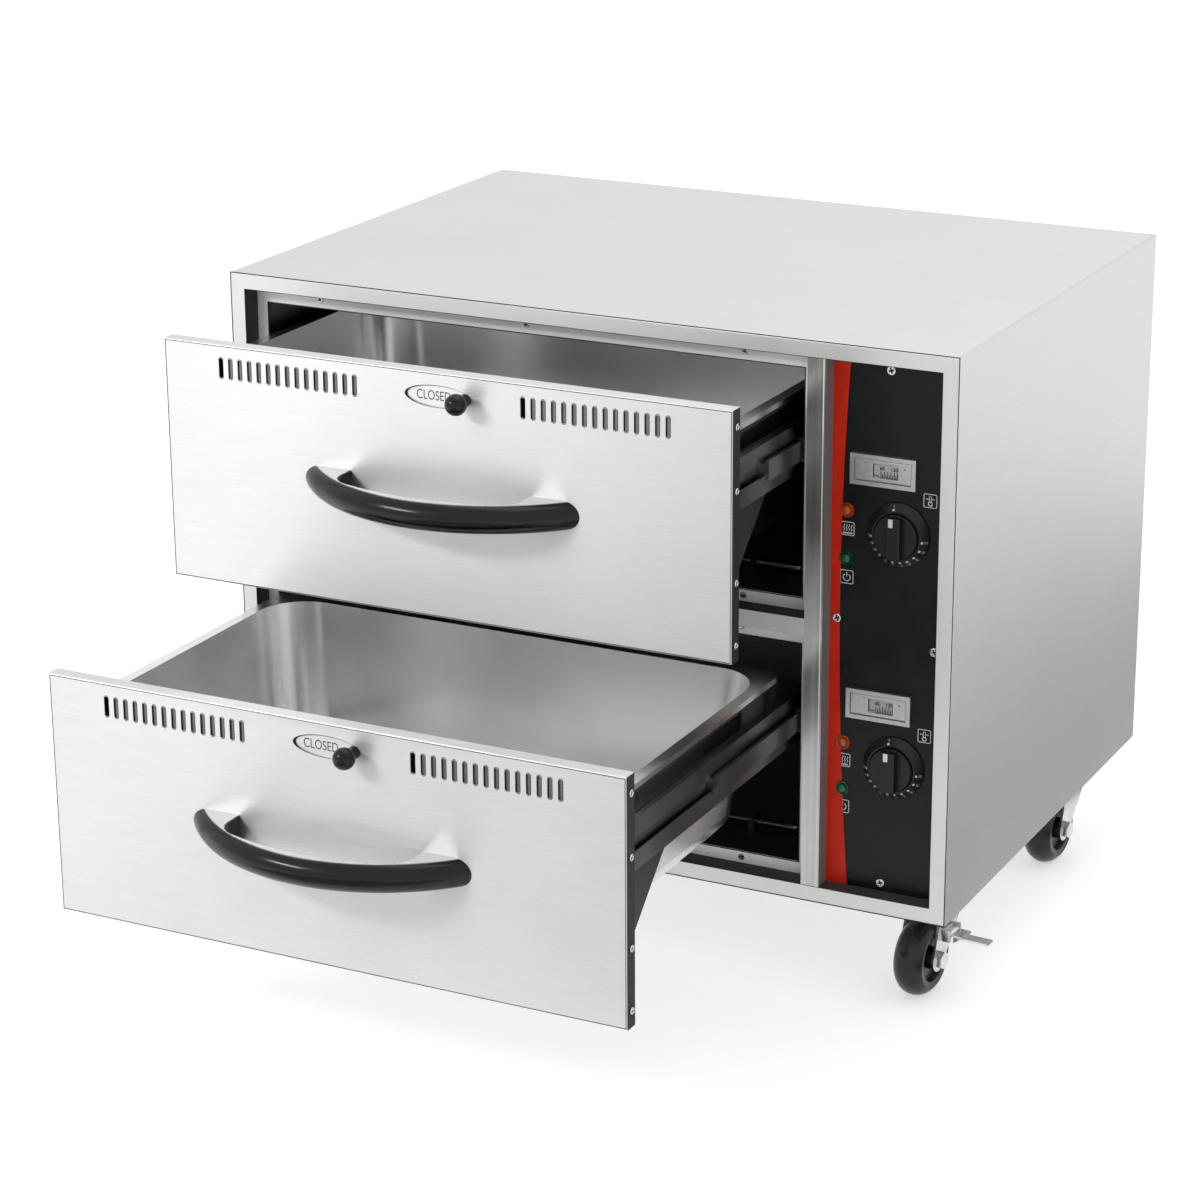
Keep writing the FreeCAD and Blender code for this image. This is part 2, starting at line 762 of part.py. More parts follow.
LAMP_FLANGE = S.lamp_radius + S.lamp_flange
OPEN_TALL = FRAME_TOP - SILL["lower"]
stripe = new_body("printed_stripe", CONTROL_LEFT, FASCIA - S.stripe_gauge / 2, SILL["lower"])
stripe_outline = outline(sketch_on(stripe, "XZ_Plane"), [
    (0, 0), (S.stripe_bottom, 0), (S.stripe_top, OPEN_TALL), (0, OPEN_TALL),
], {1: (S.stripe_radius, 1)})
pad(stripe, stripe_outline, S.stripe_gauge)
lamp_rooms = []
for level in LEVELS:
    for lamp_z in (AMBER_Z[level], GREEN_Z[level]):
        spot = (LAMP_X, FASCIA - S.stripe_gauge, lamp_z)
        lamp_rooms.append(rod("+y", spot, LAMP_FLANGE + S.running_gap, S.stripe_gauge))
keep(cut("fascia_stripe", stripe, lamp_rooms))

cases = []
scales = []
ambers = []
greens = []
skirts = []
thermostats = []
for level in LEVELS:
    case = new_body(f"{level}_thermometer_case", GAUGE_X, FASCIA, GAUGE_Z[level])
    half_x, half_z = S.thermometer_width / 2, S.thermometer_tall / 2
    add_box(case, (-half_x, half_x), (-S.thermometer_reach, size(0)), (-half_z, half_z), "Bezel")
    cut_box(case, about(0, CASE_HALF[0]), (-S.thermometer_reach, -S.thermometer_reach / 4),
            about(0, CASE_HALF[1]), "Recess")
    add_box(case, about(0, CASE_HALF[0]), (size(0), S.thermometer_body), about(0, CASE_HALF[1]), "Case")
    cases.append(case)
    scales.append(block(about(GAUGE_X + S.scale_offset, S.scale_width / 2),
                        (FASCIA - S.thermometer_reach / 4 - S.scale_gauge, FASCIA - S.thermometer_reach / 4),
                        about(GAUGE_Z[level], S.scale_tall / 2), "Scale"))

    for colour, lamp_z, lamps in (("amber", AMBER_Z[level], ambers), ("green", GREEN_Z[level], greens)):
        lamp = new_body(f"{level}_{colour}_lamp", LAMP_X, FASCIA, lamp_z)
        lens = S.lamp_radius * 0.85
        dome = S.lamp_reach - S.lamp_flange
        revolve(lamp, outline(sketch_on(lamp, "XY_Plane"), [
            (0, S.lamp_body), (S.lamp_radius, S.lamp_body), (S.lamp_radius, 0), (LAMP_FLANGE, 0),
            (LAMP_FLANGE - S.lamp_chamfer, -S.lamp_flange), (lens, -S.lamp_flange), (0, -S.lamp_reach),
        ], {5: ((lens * lens + dome * dome) / (2 * dome), 1)}))
        lamps.append(lamp)

    skirt = new_body(f"{level}_skirt", DIAL_X, FASCIA, DIAL_Z[level])
    bore = S.knob_radius + S.moving_gap
    revolve(skirt, outline(sketch_on(skirt, "XY_Plane"), [
        (bore, 0), (S.skirt_radius, 0), (S.skirt_radius, -S.skirt_edge),
        (S.skirt_top_radius, -S.skirt_rise), (bore, -S.skirt_rise),
    ]))
    skirts.append(skirt)

    thermostat = new_body(f"{level}_thermostat", DIAL_X, FASCIA + S.fascia_gauge, DIAL_Z[level])
    add_box(thermostat, about(0, S.thermostat_width / 2), (size(0), S.thermostat_depth),
            about(0, S.thermostat_width / 2), "Housing")
    add_rod(thermostat, "-y", (0, 0, 0), S.bush_radius, S.fascia_gauge)
    cut_rod(thermostat, "+y", (0, -S.fascia_gauge, 0), S.spindle_radius + S.running_gap,
            S.fascia_gauge + S.spindle_depth + S.moving_gap)
    thermostats.append(thermostat)

    knob = keep(new_body(f"{level}_knob", DIAL_X, FASCIA - S.moving_gap, DIAL_Z[level]))
    revolve(knob, outline(sketch_on(knob, "XY_Plane"), [
        (0, 0), (S.knob_radius, 0), (S.knob_radius - S.knob_draft, S.knob_chamfer - S.knob_base),
        (S.knob_radius - S.knob_draft - S.knob_chamfer, -S.knob_base), (0, -S.knob_base),
    ]))
    grip = S.knob_radius - S.knob_grip_inset
    add_box(knob, about(0, S.knob_grip_width / 2), (-S.knob_base - S.knob_grip, -S.knob_base),
            about(0, grip), "Grip")
    round_edges(knob, S.knob_rounding, lambda edge, bounds: edge.BoundBox.YMax < bounds.YMin + 1e-6)
    add_rod(knob, "+y", (0, 0, 0), S.spindle_radius, S.moving_gap + S.fascia_gauge + S.spindle_depth)
keep(group("thermometers", cases))
keep(group("thermometer_dials", scales))
keep(group("amber_lamps", ambers))
keep(group("green_lamps", greens))
keep(group("dial_rings", skirts))
keep(group("thermostats", thermostats))

MID_HEIGHT = SILL["lower"] + OPEN_TALL / 2
keep(group("fascia_screws", [
    screw("-y", (CONTROL_CENTRE, FASCIA, FRAME_TOP - S.fascia_screw_inset)),
    screw("-y", (CONTROL_CENTRE, FASCIA, SILL["lower"] + S.fascia_screw_inset)),
    screw("-y", (CONTROL_LEFT + S.stripe_screw_inset, FASCIA - S.stripe_gauge,
                 MID_HEIGHT + S.stripe_screw_rise)),
    screw("-y", (CONTROL_RIGHT - S.fascia_screw_inset, FASCIA, MID_HEIGHT - S.edge_screw_drop)),
]))

case_screws = []
for level in LEVELS:
    for place in (-1, 0, 1):
        lip_x = BAY_CENTRE + place * S.lip_screw_pitch
        case_screws.append(screw("-y", (lip_x, LIP, SILL[level] + OPENING_HEIGHT - S.lip_screw_drop)))
        case_screws.append(screw("-y", (lip_x, LIP, SILL[level] + S.lip_width / 2), S.low_screw_rise))
for side in SIDES:
    for height in (0.08, 0.5, 0.92):
        back_x = side * (HALF - S.back_screw_inset)
        case_screws.append(screw("+y", (back_x, BACK, BASE + S.cabinet_height * height)))
for place in (-0.3, 0.3):
    for back_z in (BASE + S.back_screw_inset, TOP - S.back_screw_inset):
        case_screws.append(screw("+y", (place * S.cabinet_width, BACK, back_z)))
keep(group("case_screws", case_screws))

entry = new_body("cable_gland", INLET[0], BACK, INLET[1])
add_rod(entry, "+y", (0, 0, 0), S.inlet_radius, S.inlet_reach)
add_nut(entry, "+y", (0, 0, 0), S.gland_nut_radius, S.inlet_reach / 3)
add_rod(entry, "-y", (0, 0, 0), S.gland_thread_radius, WALL + S.gland_tail)
add_nut(entry, "-y", (0, -WALL, 0), S.locknut_radius, S.locknut_length)
cut_rod(entry, "-y", (0, S.inlet_reach, 0), S.gland_bore_radius, S.inlet_reach + WALL + S.gland_tail)
terminals = block(about(CONTROL_CENTRE, S.terminal_width / 2), (BACK - WALL - S.terminal_depth, BACK - WALL),
                  about(INLET[1] + S.terminal_rise, S.terminal_tall / 2), "Terminals")
keep(group("power_entry", [entry, terminals]))

# ---------------------------------------------------------------------------------------------------
# Slides: a fixed channel on the liner, a channel on the drawer and a rail that runs inside both
# ---------------------------------------------------------------------------------------------------
GROOVE_HALF = S.rail_groove / 2
FIXED_FRONT = LINER_FRONT + S.rail_setback


def channel(side, near, y, middle, tall, opens_out):
    """A channel with turned-in lips; near is its distance from the bay's middle, tall half its height."""
    gauge = S.rail_gauge
    far = near + S.rail_reach
    inner = (near + gauge, far - gauge)
    groove = (far - gauge, far) if opens_out else (near, near + gauge)
    return cut("Channel", block(side_span(side, near, far), y, about(middle, tall)), [
        block(side_span(side, *inner), y, about(middle, tall - gauge)),
        block(side_span(side, *groove), y, about(middle, GROOVE_HALF)),
    ])


fixed = []
for level in LEVELS:
    middle = SILL[level] + S.rail_centre
    near = LINER_HALF - S.rail_reach
    far = FRAME_HALF
    inner_head = (far + S.rail_gauge + S.rail_play, far + S.rail_reach - S.rail_gauge - S.rail_play)
    outer_head = (near + S.rail_gauge + S.rail_play, near + S.rail_reach - S.rail_gauge - S.rail_play)
    rail_front = FIXED_FRONT + S.rail_setback - PULL[level] / 2
    rail_y = (rail_front, rail_front + S.middle_rail_length)
    head_clearance = S.rail_gauge + S.rail_play
    middles = []
    drawers = []
    for side in SIDES:
        fixed.append(channel(side, near, (FIXED_FRONT, FIXED_FRONT + S.fixed_rail_length), middle,
                             S.fixed_rail_height / 2, False))
        rail_start = FACE[level] + S.front_thickness
        drawers.append(channel(side, far, (rail_start, rail_start + S.drawer_rail_length), middle,
                               S.rail_height / 2, True))
        middles.append(fuse("Double_rail", [
            block(side_span(side, *inner_head), rail_y, about(middle, S.rail_height / 2 - head_clearance)),
            block(side_span(side, inner_head[0], outer_head[1]), rail_y,
                  about(middle, GROOVE_HALF - S.rail_play)),
            block(side_span(side, *outer_head), rail_y,
                  about(middle, S.fixed_rail_height / 2 - head_clearance)),
        ]))
    keep(group(f"{level}_middle_rails", middles))
    keep(group(f"{level}_drawer_rails", drawers))
keep(group("fixed_rails", fixed))


# ---------------------------------------------------------------------------------------------------
# Drawers
# ---------------------------------------------------------------------------------------------------
def drawer_bowl(label, shrink, face, rim):
    """The rounded, tapering body of the pan, smaller all round by an amount."""
    bowl = new_body(label, BAY_CENTRE, face + S.pan_setback + S.pan_length / 2, rim)
    top_x = PAN_HALF - S.pan_rim + S.pan_gauge - shrink
    top_y = S.pan_length / 2 - S.pan_rim + S.pan_gauge - shrink
    wedge = bowl.newObject("PartDesign::AdditiveWedge", "Taper")
    wedge.Placement = FreeCAD.Placement(FreeCAD.Vector(), FreeCAD.Rotation(FreeCAD.Vector(1, 0, 0), 90))
    bind(wedge, "Ymin", shrink - S.pan_depth)
    bind(wedge, "Ymax", 0)
    for low, high, amount in (("Xmin", "Xmax", top_x - S.pan_taper), ("Zmin", "Zmax", top_y - S.pan_taper),
                              ("X2min", "X2max", top_x), ("Z2min", "Z2max", top_y)):
        bind(wedge, high, amount)
        bind(wedge, low, -amount)
    round_edges(bowl, S.pan_corner - shrink,
                lambda edge, bounds: edge.BoundBox.ZLength > bounds.ZLength / 2, "Corners")
    round_edges(bowl, S.pan_bottom_radius - shrink,
                lambda edge, bounds: edge.BoundBox.ZMax < bounds.ZMin + 1e-3, "Bottom")
    return bowl


def drawer_pan(level):
    """A drawn pan with a flat rim and a turned-down edge."""
    face = FACE[level]
    rim = SILL[level] + S.pan_rim_height
    plate = new_body(f"{level}_pan_edge", BAY_CENTRE, face + S.pan_setback, rim)
    half = PAN_HALF
    add_box(plate, (-half, half), (size(0), S.pan_length), (-S.pan_hem, size(0)), "Rim")
    round_edges(plate, S.pan_flange_corner, upright, "Corners")
    under = new_body(f"{level}_pan_edge_room", BAY_CENTRE, face + S.pan_setback, rim)
    gauge = S.pan_gauge
    add_box(under, (gauge - half, half - gauge), (gauge, S.pan_length - gauge), (-S.pan_hem, -gauge), "Room")
    round_edges(under, S.pan_flange_corner - gauge, upright, "Corners")
    edge = cut(f"{level}_pan_rim", plate, [under])
    outer = fuse(f"{level}_pan_outside", [edge, drawer_bowl(f"{level}_bowl", size(0), face, rim)])
    return cut(f"{level}_pan", outer, [drawer_bowl(f"{level}_bowl_room", gauge, face, rim)])


def slot_rows(body):
    """The two rows of vent slots, through one sheet's thickness."""
    for side in SIDES:
        first = side * SLOT_GROUP - (S.slot_count - 1) * S.slot_pitch / 2
        row_of(body, cut_slot(body, first, S.front_gauge), S.slot_count, S.slot_pitch)


def drawer_front(level):
    """A folded tray with vent slots and an oval window, with the shutter's two guides behind them."""
    front = new_body(f"{level}_front", BAY_CENTRE, FACE[level], SILL[level] + S.front_bottom_gap)
    gauge = S.front_gauge
    add_box(front, (-FRONT_HALF, FRONT_HALF), (size(0), S.front_thickness), (size(0), FRONT_TALL), "Tray")
    round_edges(front, S.fold_radius, lambda edge, bounds: edge.BoundBox.YMax < bounds.YMin + 1e-6)
    cut_box(front, (gauge - FRONT_HALF, FRONT_HALF - gauge), (gauge, S.front_thickness),
            (gauge, FRONT_TALL - gauge))
    for side in SIDES:
        edge_z = SLOT_LINE + side * (S.shutter_height / 2 + S.moving_gap)
        far_z, lip_z = edge_z + side * S.guide_width, edge_z - side * S.keeper_overlap
        guide_x = (-SHUTTER_LEFT - SHUTTER_TRAVEL, SHUTTER_RIGHT + S.guide_end)
        keeper_y = SHUTTER_BACK + S.moving_gap
        add_box(front, guide_x, (gauge, keeper_y), (edge_z, far_z)[::side], "Guide")
        add_box(front, guide_x, (keeper_y, keeper_y + gauge), (lip_z, far_z)[::side], "Keeper")
    window = front.newObject("PartDesign::SubtractiveEllipsoid", "Window")
    bind(window, "Radius1", S.window_height / 2)
    bind(window, "Radius2", S.window_length / 2)
    bind(window, "Radius3", S.window_length)
    put(window, 0, S.front_gauge / 2, SLOT_LINE)
    slot_rows(front)
    return front


def front_cover(level):
    """The sheet that closes the tray's back, with the same two rows of vent slots."""
    y = FACE[level] + S.front_thickness - S.front_gauge
    cover = new_body(f"{level}_front_liner", BAY_CENTRE, y, SILL[level] + S.front_bottom_gap)
    inner = FRONT_HALF - S.front_gauge
    add_box(cover, (-inner, inner), (size(0), S.front_gauge),
            (S.front_gauge, FRONT_TALL - S.front_gauge), "Sheet")
    slot_rows(cover)
    return cover


def drawer_frame(level):
    """Two side plates with gussets, joined by a front plate with a shelf and by a rear rail.

    The side plates are open between the slides and the ledge that carries the pan's rim, apart from
    two tabs near the back.  The four corners under the rim are relieved, so that its rounded edge
    hangs clear of them.
    """
    gauge = S.frame_gauge
    frame = new_body(f"{level}_frame", BAY_CENTRE, FACE[level], SILL[level])
    start = S.front_thickness
    ledge_front = S.pan_setback + S.pan_gauge + S.frame_clearance
    ledge_back = PAN_BACK - S.pan_gauge - S.frame_clearance
    seat = S.pan_rim_height - S.pan_gauge
    shelf = seat - S.frame_riser
    rear = start + S.drawer_rail_length
    side_view = outline(sketch_on(frame, "YZ_Plane"), [
        (start, S.gusset_foot), (start + S.gusset_length, RAIL_LOW), (rear, RAIL_LOW), (rear, RAIL_HIGH),
        (ledge_back, RAIL_HIGH), (ledge_back, seat), (ledge_front, seat), (ledge_front, shelf),
        (start, shelf),
    ])
    pad(frame, side_view, 2 * FRAME_HALF, "Side_plates")
    inside = about(0, FRAME_HALF - gauge)
    low = S.gusset_foot
    cut_box(frame, inside, (start + gauge, ledge_back - gauge), (low, shelf - gauge), "Under_shelf")
    cut_box(frame, inside, (ledge_front + gauge, ledge_back - gauge), (shelf - gauge, seat), "Pan_well")
    cut_box(frame, inside, (ledge_back, rear), (RAIL_LOW, RAIL_HIGH), "Behind_rear_rail")
    relief = S.pan_flange_corner
    second = S.side_tabs_from + S.side_tab_length
    for side in SIDES:
        plate_x = (side * (FRAME_HALF - gauge), side * FRAME_HALF)[::side]
        for open_y in ((ledge_front + 2 * gauge, S.side_tabs_from), (second, second + S.side_tab_gap)):
            cut_box(frame, plate_x, open_y, (RAIL_HIGH + gauge, seat - S.side_ledge), "Side_window")
        relief_x = (side * (FRAME_HALF - relief), side * FRAME_HALF)[::side]
        for relief_y in ((ledge_front, ledge_front + relief), (ledge_back - relief, ledge_back)):
            cut_box(frame, relief_x, relief_y, (seat - S.pan_hem, seat), "Corner_relief")
    return frame


def handle_ring(body, points, arcs, grow):
    """Turns a profile about the handle's upright axis, keeps what stands in front of the face and
    cuts the room for the fingers, larger all round by an amount."""
    revolve(body, outline(sketch_on(body, "XZ_Plane"), points, arcs))
    everything = S.handle_swing_radius + S.handle_bulge_radius
    face = -S.handle_axis_depth
    cut_box(body, (-everything, everything), (face, everything), (-everything, everything), "Behind_face")
    leg, corner = S.handle_leg_gap, S.handle_corner
    rise = S.handle_grip_depth - S.handle_leg_length
    bow = (leg * leg + rise * rise) / (2 * rise)
    bow_y = face - S.handle_grip_depth + bow
    corner_x = leg - corner
    fall = root((bow - corner) * (bow - corner) - corner_x * corner_x)
    stretch = (bow + grow) / (bow - corner)
    touch = (corner_x * stretch, bow_y - fall * stretch)
    side_x, side_y = leg + grow, bow_y - fall
    clear_y = face + S.handle_bulge_radius
    room = outline(sketch_on(body, "XY_Plane"), [
        (-side_x, clear_y), (side_x, clear_y), (side_x, side_y), touch,
        (-touch[0], touch[1]), (-side_x, side_y),
    ], {2: (corner + grow, 1), 3: (bow + grow, 1), 4: (corner + grow, 1)})
    pocket(body, room, 4 * S.handle_bulge_radius, "Finger_room")
    return body


def drawer_handle(level):
    """An arched grip: round below and outside, flat on top, with a leg at each end."""
    swing, bulge, rise = S.handle_swing_radius, S.handle_bulge_radius, S.handle_top_rise
    middle = SILL[level] + S.handle_height
    axis_y = FACE[level] + S.handle_axis_depth
    top_radius = swing + root(bulge * bulge - rise * rise)
    inner = S.handle_axis_depth - bulge
    handle = handle_ring(new_body(f"{level}_handle", BAY_CENTRE, axis_y, middle), [
        (inner, -bulge), (swing, -bulge), (top_radius, rise), (inner, rise),
    ], {1: (bulge, -1)}, size(0))
    inset = S.handle_plate_inset
    top = rise + S.handle_plate_gauge
    inlay = handle_ring(new_body(f"{level}_handle_inlay", BAY_CENTRE, axis_y, middle), [
        (inner, rise), (top_radius - inset, rise), (top_radius - inset, top), (inner, top),
    ], None, inset)
    return handle, inlay


def shutter(level):
    """The slotted strip behind the vent slots, and the ball that slides it."""
    foot = SILL[level] + S.front_bottom_gap
    strip_y = S.front_gauge + S.moving_gap
    strip = new_body(f"{level}_damper_plate", BAY_CENTRE, FACE[level], foot)
    add_box(strip, (-SHUTTER_LEFT, SHUTTER_RIGHT), (strip_y, SHUTTER_BACK),
            about(SLOT_LINE, S.shutter_height / 2), "Strip")
    reach = (S.slot_count - 1) * S.slot_pitch / 2
    for start, count in ((SHUTTER_TRAVEL - SLOT_GROUP - reach, S.shutter_left_slots),
                         (SHUTTER_TRAVEL + SLOT_GROUP - reach, S.shutter_right_slots)):
        row_of(strip, cut_slot(strip, start, SHUTTER_BACK), count, S.slot_pitch)
    cut_slot(strip, SLOT_GROUP - reach, SHUTTER_BACK, "Bleed_slot")
    stem_x = SHUTTER_TRAVEL / 2
    neck = S.moving_gap
    add_rod(strip, "-y", (stem_x, strip_y, SLOT_LINE), S.shutter_stem_radius, strip_y + neck)
    ball = new_body(f"{level}_damper_ball", BAY_CENTRE + stem_x, FACE[level], foot + SLOT_LINE)
    radius, centre = S.shutter_ball_radius, S.shutter_ball_reach
    throat = radius / 2
    revolve(ball, outline(sketch_on(ball, "XY_Plane"), [
        (0, -neck), (radius * 0.6, -neck), (throat, root(radius * radius - throat * throat) - centre),
        (0, -centre - radius),
    ], {2: (radius, 1)}))
    return strip, ball


for level in LEVELS:
    keep(drawer_front(level))
    keep(front_cover(level))
    keep(drawer_frame(level))
    keep(drawer_pan(level))
    for item in drawer_handle(level) + shutter(level):
        keep(item)
    screws = []
    for side in SIDES:
        way = "+x" if side > 0 else "-x"
        edge_x = BAY_CENTRE + side * FRONT_HALF
        for height in (0.07, 0.32, 0.68, 0.93):
            screws.append(screw(way, (edge_x, FACE[level] + S.front_thickness / 2,
                                      SILL[level] + S.front_bottom_gap + FRONT_TALL * height), S.screw_rise))
    keep(group(f"{level}_drawer_screws", screws))

# ---------------------------------------------------------------------------------------------------
# Casters; in each one the wheel trails the upright swivel axis towards its own -Y
# ---------------------------------------------------------------------------------------------------
CORNERS = {
    "front_left": (S.caster_side_inset - HALF, FRONT + S.caster_end_inset),
    "front_right": (HALF - S.caster_side_inset, FRONT + S.caster_end_inset),
    "rear_left": (S.caster_side_inset - HALF, BACK - S.caster_end_inset),
    "rear_right": (HALF - S.caster_side_inset, BACK - S.caster_end_inset),
}
RACE_LOW = BASE - S.caster_plate_gauge - S.race_thickness
CROWN = (S.fork_height - S.fork_gauge, S.fork_height)
LEG = (S.wheel_width / 2 + S.fork_gap, S.wheel_width / 2 + S.fork_gap + S.fork_gauge)


def turned(body, corner):
    """Turns a caster's piece about its swivel axis; the left-hand casters face the other way."""
    if corner.endswith("right"):
        body.Placement.Rotation = FreeCAD.Rotation(FreeCAD.Vector(0, 0, -1), 1)
        bind(body, ".Placement.Rotation.Angle", S.caster_turn)
    else:
        body.Placement.Rotation = FreeCAD.Rotation(FreeCAD.Vector(0, 0, 1), 1)
        bind(body, ".Placement.Rotation.Angle", 180 - S.caster_turn)
    return body


def caster_plate(corner):
    x, y = CORNERS[corner]
    plate = new_body(f"{corner}_plate", x, y, BASE)
    half_x, half_y = S.caster_plate_width / 2, S.caster_plate_length / 2
    add_box(plate, (-half_x, half_x), (-half_y, half_y), (-S.caster_plate_gauge, size(0)), "Plate")
    round_edges(plate, S.bolt_radius, upright)
    add_rod(plate, "-z", (0, 0, 0), S.race_radius - S.race_step, S.caster_plate_gauge + S.race_thickness)
    add_rod(plate, "-z", (0, 0, 0), S.kingpin_radius, BASE - CROWN[0] + S.moving_gap)
    add_nut(plate, "-z", (0, 0, CROWN[0] - S.moving_gap - BASE), S.kingpin_radius + S.nut_overhang,
            S.bolt_radius)
    for across in SIDES:
        for along in SIDES:
            spot = (across * (half_x - S.bolt_inset), along * (half_y - S.bolt_inset), -S.caster_plate_gauge)
            add_nut(plate, "-z", spot, S.bolt_radius, S.bolt_radius * 0.7)
    return plate


def caster_fork(corner, braked):
    x, y = CORNERS[corner]
    fork = new_body(f"{corner}_fork", x, y, 0)
    reach = S.race_radius
    round_end = S.fork_end_radius
    trail, axle = S.caster_trail, S.wheel_radius
    leg_view = outline(sketch_on(fork, "YZ_Plane"), [
        (reach - S.race_step, S.fork_height), (-reach - S.fork_shoulder, S.fork_height),
        (-trail - round_end, axle),
        (0.8 * round_end - trail, axle - 0.6 * round_end),
    ], {2: (round_end, -1)})
    pad(fork, leg_view, 2 * LEG[1], "Legs")
    cut_box(fork, (-LEG[0], LEG[0]), (-trail - round_end, reach), (size(0), CROWN[0]), "Wheel_room")
    add_rod(fork, "+z", (0, 0, CROWN[1]), reach, RACE_LOW - CROWN[1] - S.moving_gap)
    cut_rod(fork, "+z", (0, 0, CROWN[0]), S.kingpin_radius + S.running_gap, BASE - CROWN[0])
    add_rod(fork, "+x", (-LEG[1], -trail, axle), S.axle_radius, 2 * LEG[1])
    add_nut(fork, "+x", (LEG[1], -trail, axle), S.axle_radius + S.nut_overhang, S.axle_radius)
    add_nut(fork, "-x", (-LEG[1], -trail, axle), S.axle_radius + S.nut_overhang, S.axle_radius - S.fork_gap)
    if braked:
        for start in (-S.hinge_near, -S.hinge_far):
            add_box(fork, (LEG[1], LEG[1] + S.hinge_out + S.hinge_ear_margin), (start - S.fork_gauge, start),
                    about(S.hinge_height, S.hinge_ear_height / 2), "Hinge_ear")
        pin_start = (LEG[1] + S.hinge_out, -S.hinge_near, S.hinge_height)
        add_rod(fork, "-y", pin_start, S.hinge_pin_radius, S.hinge_far - S.hinge_near)
    return turned(fork, corner)


def caster_wheel(corner):
    x, y = CORNERS[corner]
    wheel = new_body(f"{corner}_wheel", x, y, 0)
    half = S.wheel_width / 2
    shoulder = S.wheel_radius - S.wheel_crown
    recess = half - S.hub_recess
    bore = S.axle_radius + S.running_gap
    boss = bore + S.hub_boss
    draft = S.wheel_draft
    section = sketch_on(wheel, "XY_Plane", "Section")
    bind(section, ".AttachmentOffset.Base.y", -S.caster_trail)
    bind(section, ".AttachmentOffset.Base.z", S.wheel_radius)
    crown = (half * half + S.wheel_crown * S.wheel_crown) / (2 * S.wheel_crown)
    revolve(wheel, outline(section, [
        (-half, bore), (half, bore), (half, boss), (recess, boss + draft), (recess, S.hub_radius - 2 * draft),
        (half - draft, S.hub_radius), (half, shoulder), (-half, shoulder), (draft - half, S.hub_radius),
        (-recess, S.hub_radius - 2 * draft), (-recess, boss + draft), (-half, boss),
    ], {6: (crown, -1)}), "H_Axis")
    return turned(wheel, corner)


def brake_pedal(corner):
    """A lever that hangs on a pin between the fork's two ears and stands out to the side."""
    x, y = CORNERS[corner]
    pedal = new_body(f"{corner}_brake_pedal", x, y, 0)
    hinge_x = LEG[1] + S.hinge_out
    barrel = S.hinge_pin_radius + S.running_gap + S.hinge_barrel_wall
    span = (S.moving_gap - S.hinge_far, -S.hinge_near - S.fork_gauge - S.moving_gap)
    add_rod(pedal, "+y", (hinge_x, span[0], S.hinge_height), barrel, span[1] - span[0])
    top = S.hinge_height + S.pedal_gauge / 2
    arm = (hinge_x + barrel / 2, hinge_x + barrel + S.pedal_arm)
    add_box(pedal, arm, span, (top - S.pedal_gauge, top), "Arm")
    web = outline(sketch_on(pedal, "XZ_Plane", "Web_outline"), [
        (arm[0], top - S.pedal_web), (arm[1], top - S.pedal_gauge), (arm[1], top), (arm[0], top),
    ])
    bind(web, ".AttachmentOffset.Base.z", (span[0] + span[1]) / -2)
    pad(pedal, web, S.pedal_gauge, "Web")
    add_box(pedal, (arm[1] - S.pedal_gauge, hinge_x + S.pedal_reach),
            about(-S.pedal_line, S.pedal_width / 2), (top - S.pedal_gauge, top), "Tongue")
    cut_rod(pedal, "+y", (hinge_x, span[0], S.hinge_height), S.hinge_pin_radius + S.running_gap,
            span[1] - span[0])
    return turned(pedal, corner)


for corner in CORNERS:
    front_pair = corner.startswith("front")
    keep(caster_fork(corner, front_pair))
    keep(caster_wheel(corner))
    if front_pair:
        keep(brake_pedal(corner))
keep(group("caster_plates", [caster_plate(corner) for corner in CORNERS]))

# ---------------------------------------------------------------------------------------------------
# One file for each sub-part
# ---------------------------------------------------------------------------------------------------
doc.recompute()
for item in doc.Objects:
    faults = [state for state in item.State if state in ("Invalid", "Error")]
    if faults:
        raise RuntimeError(f"{item.Label}: {faults}")
os.makedirs("parts", exist_ok=True)
for item in NODES:
    if item.Shape.isNull() or not item.Shape.isValid():
        raise RuntimeError(f"{item.Label} has no valid shape")
    item.Shape.exportStep(f"parts/{item.Label}.step")
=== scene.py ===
import json
import math

import bmesh
import bpy
from mathutils import Matrix, Vector


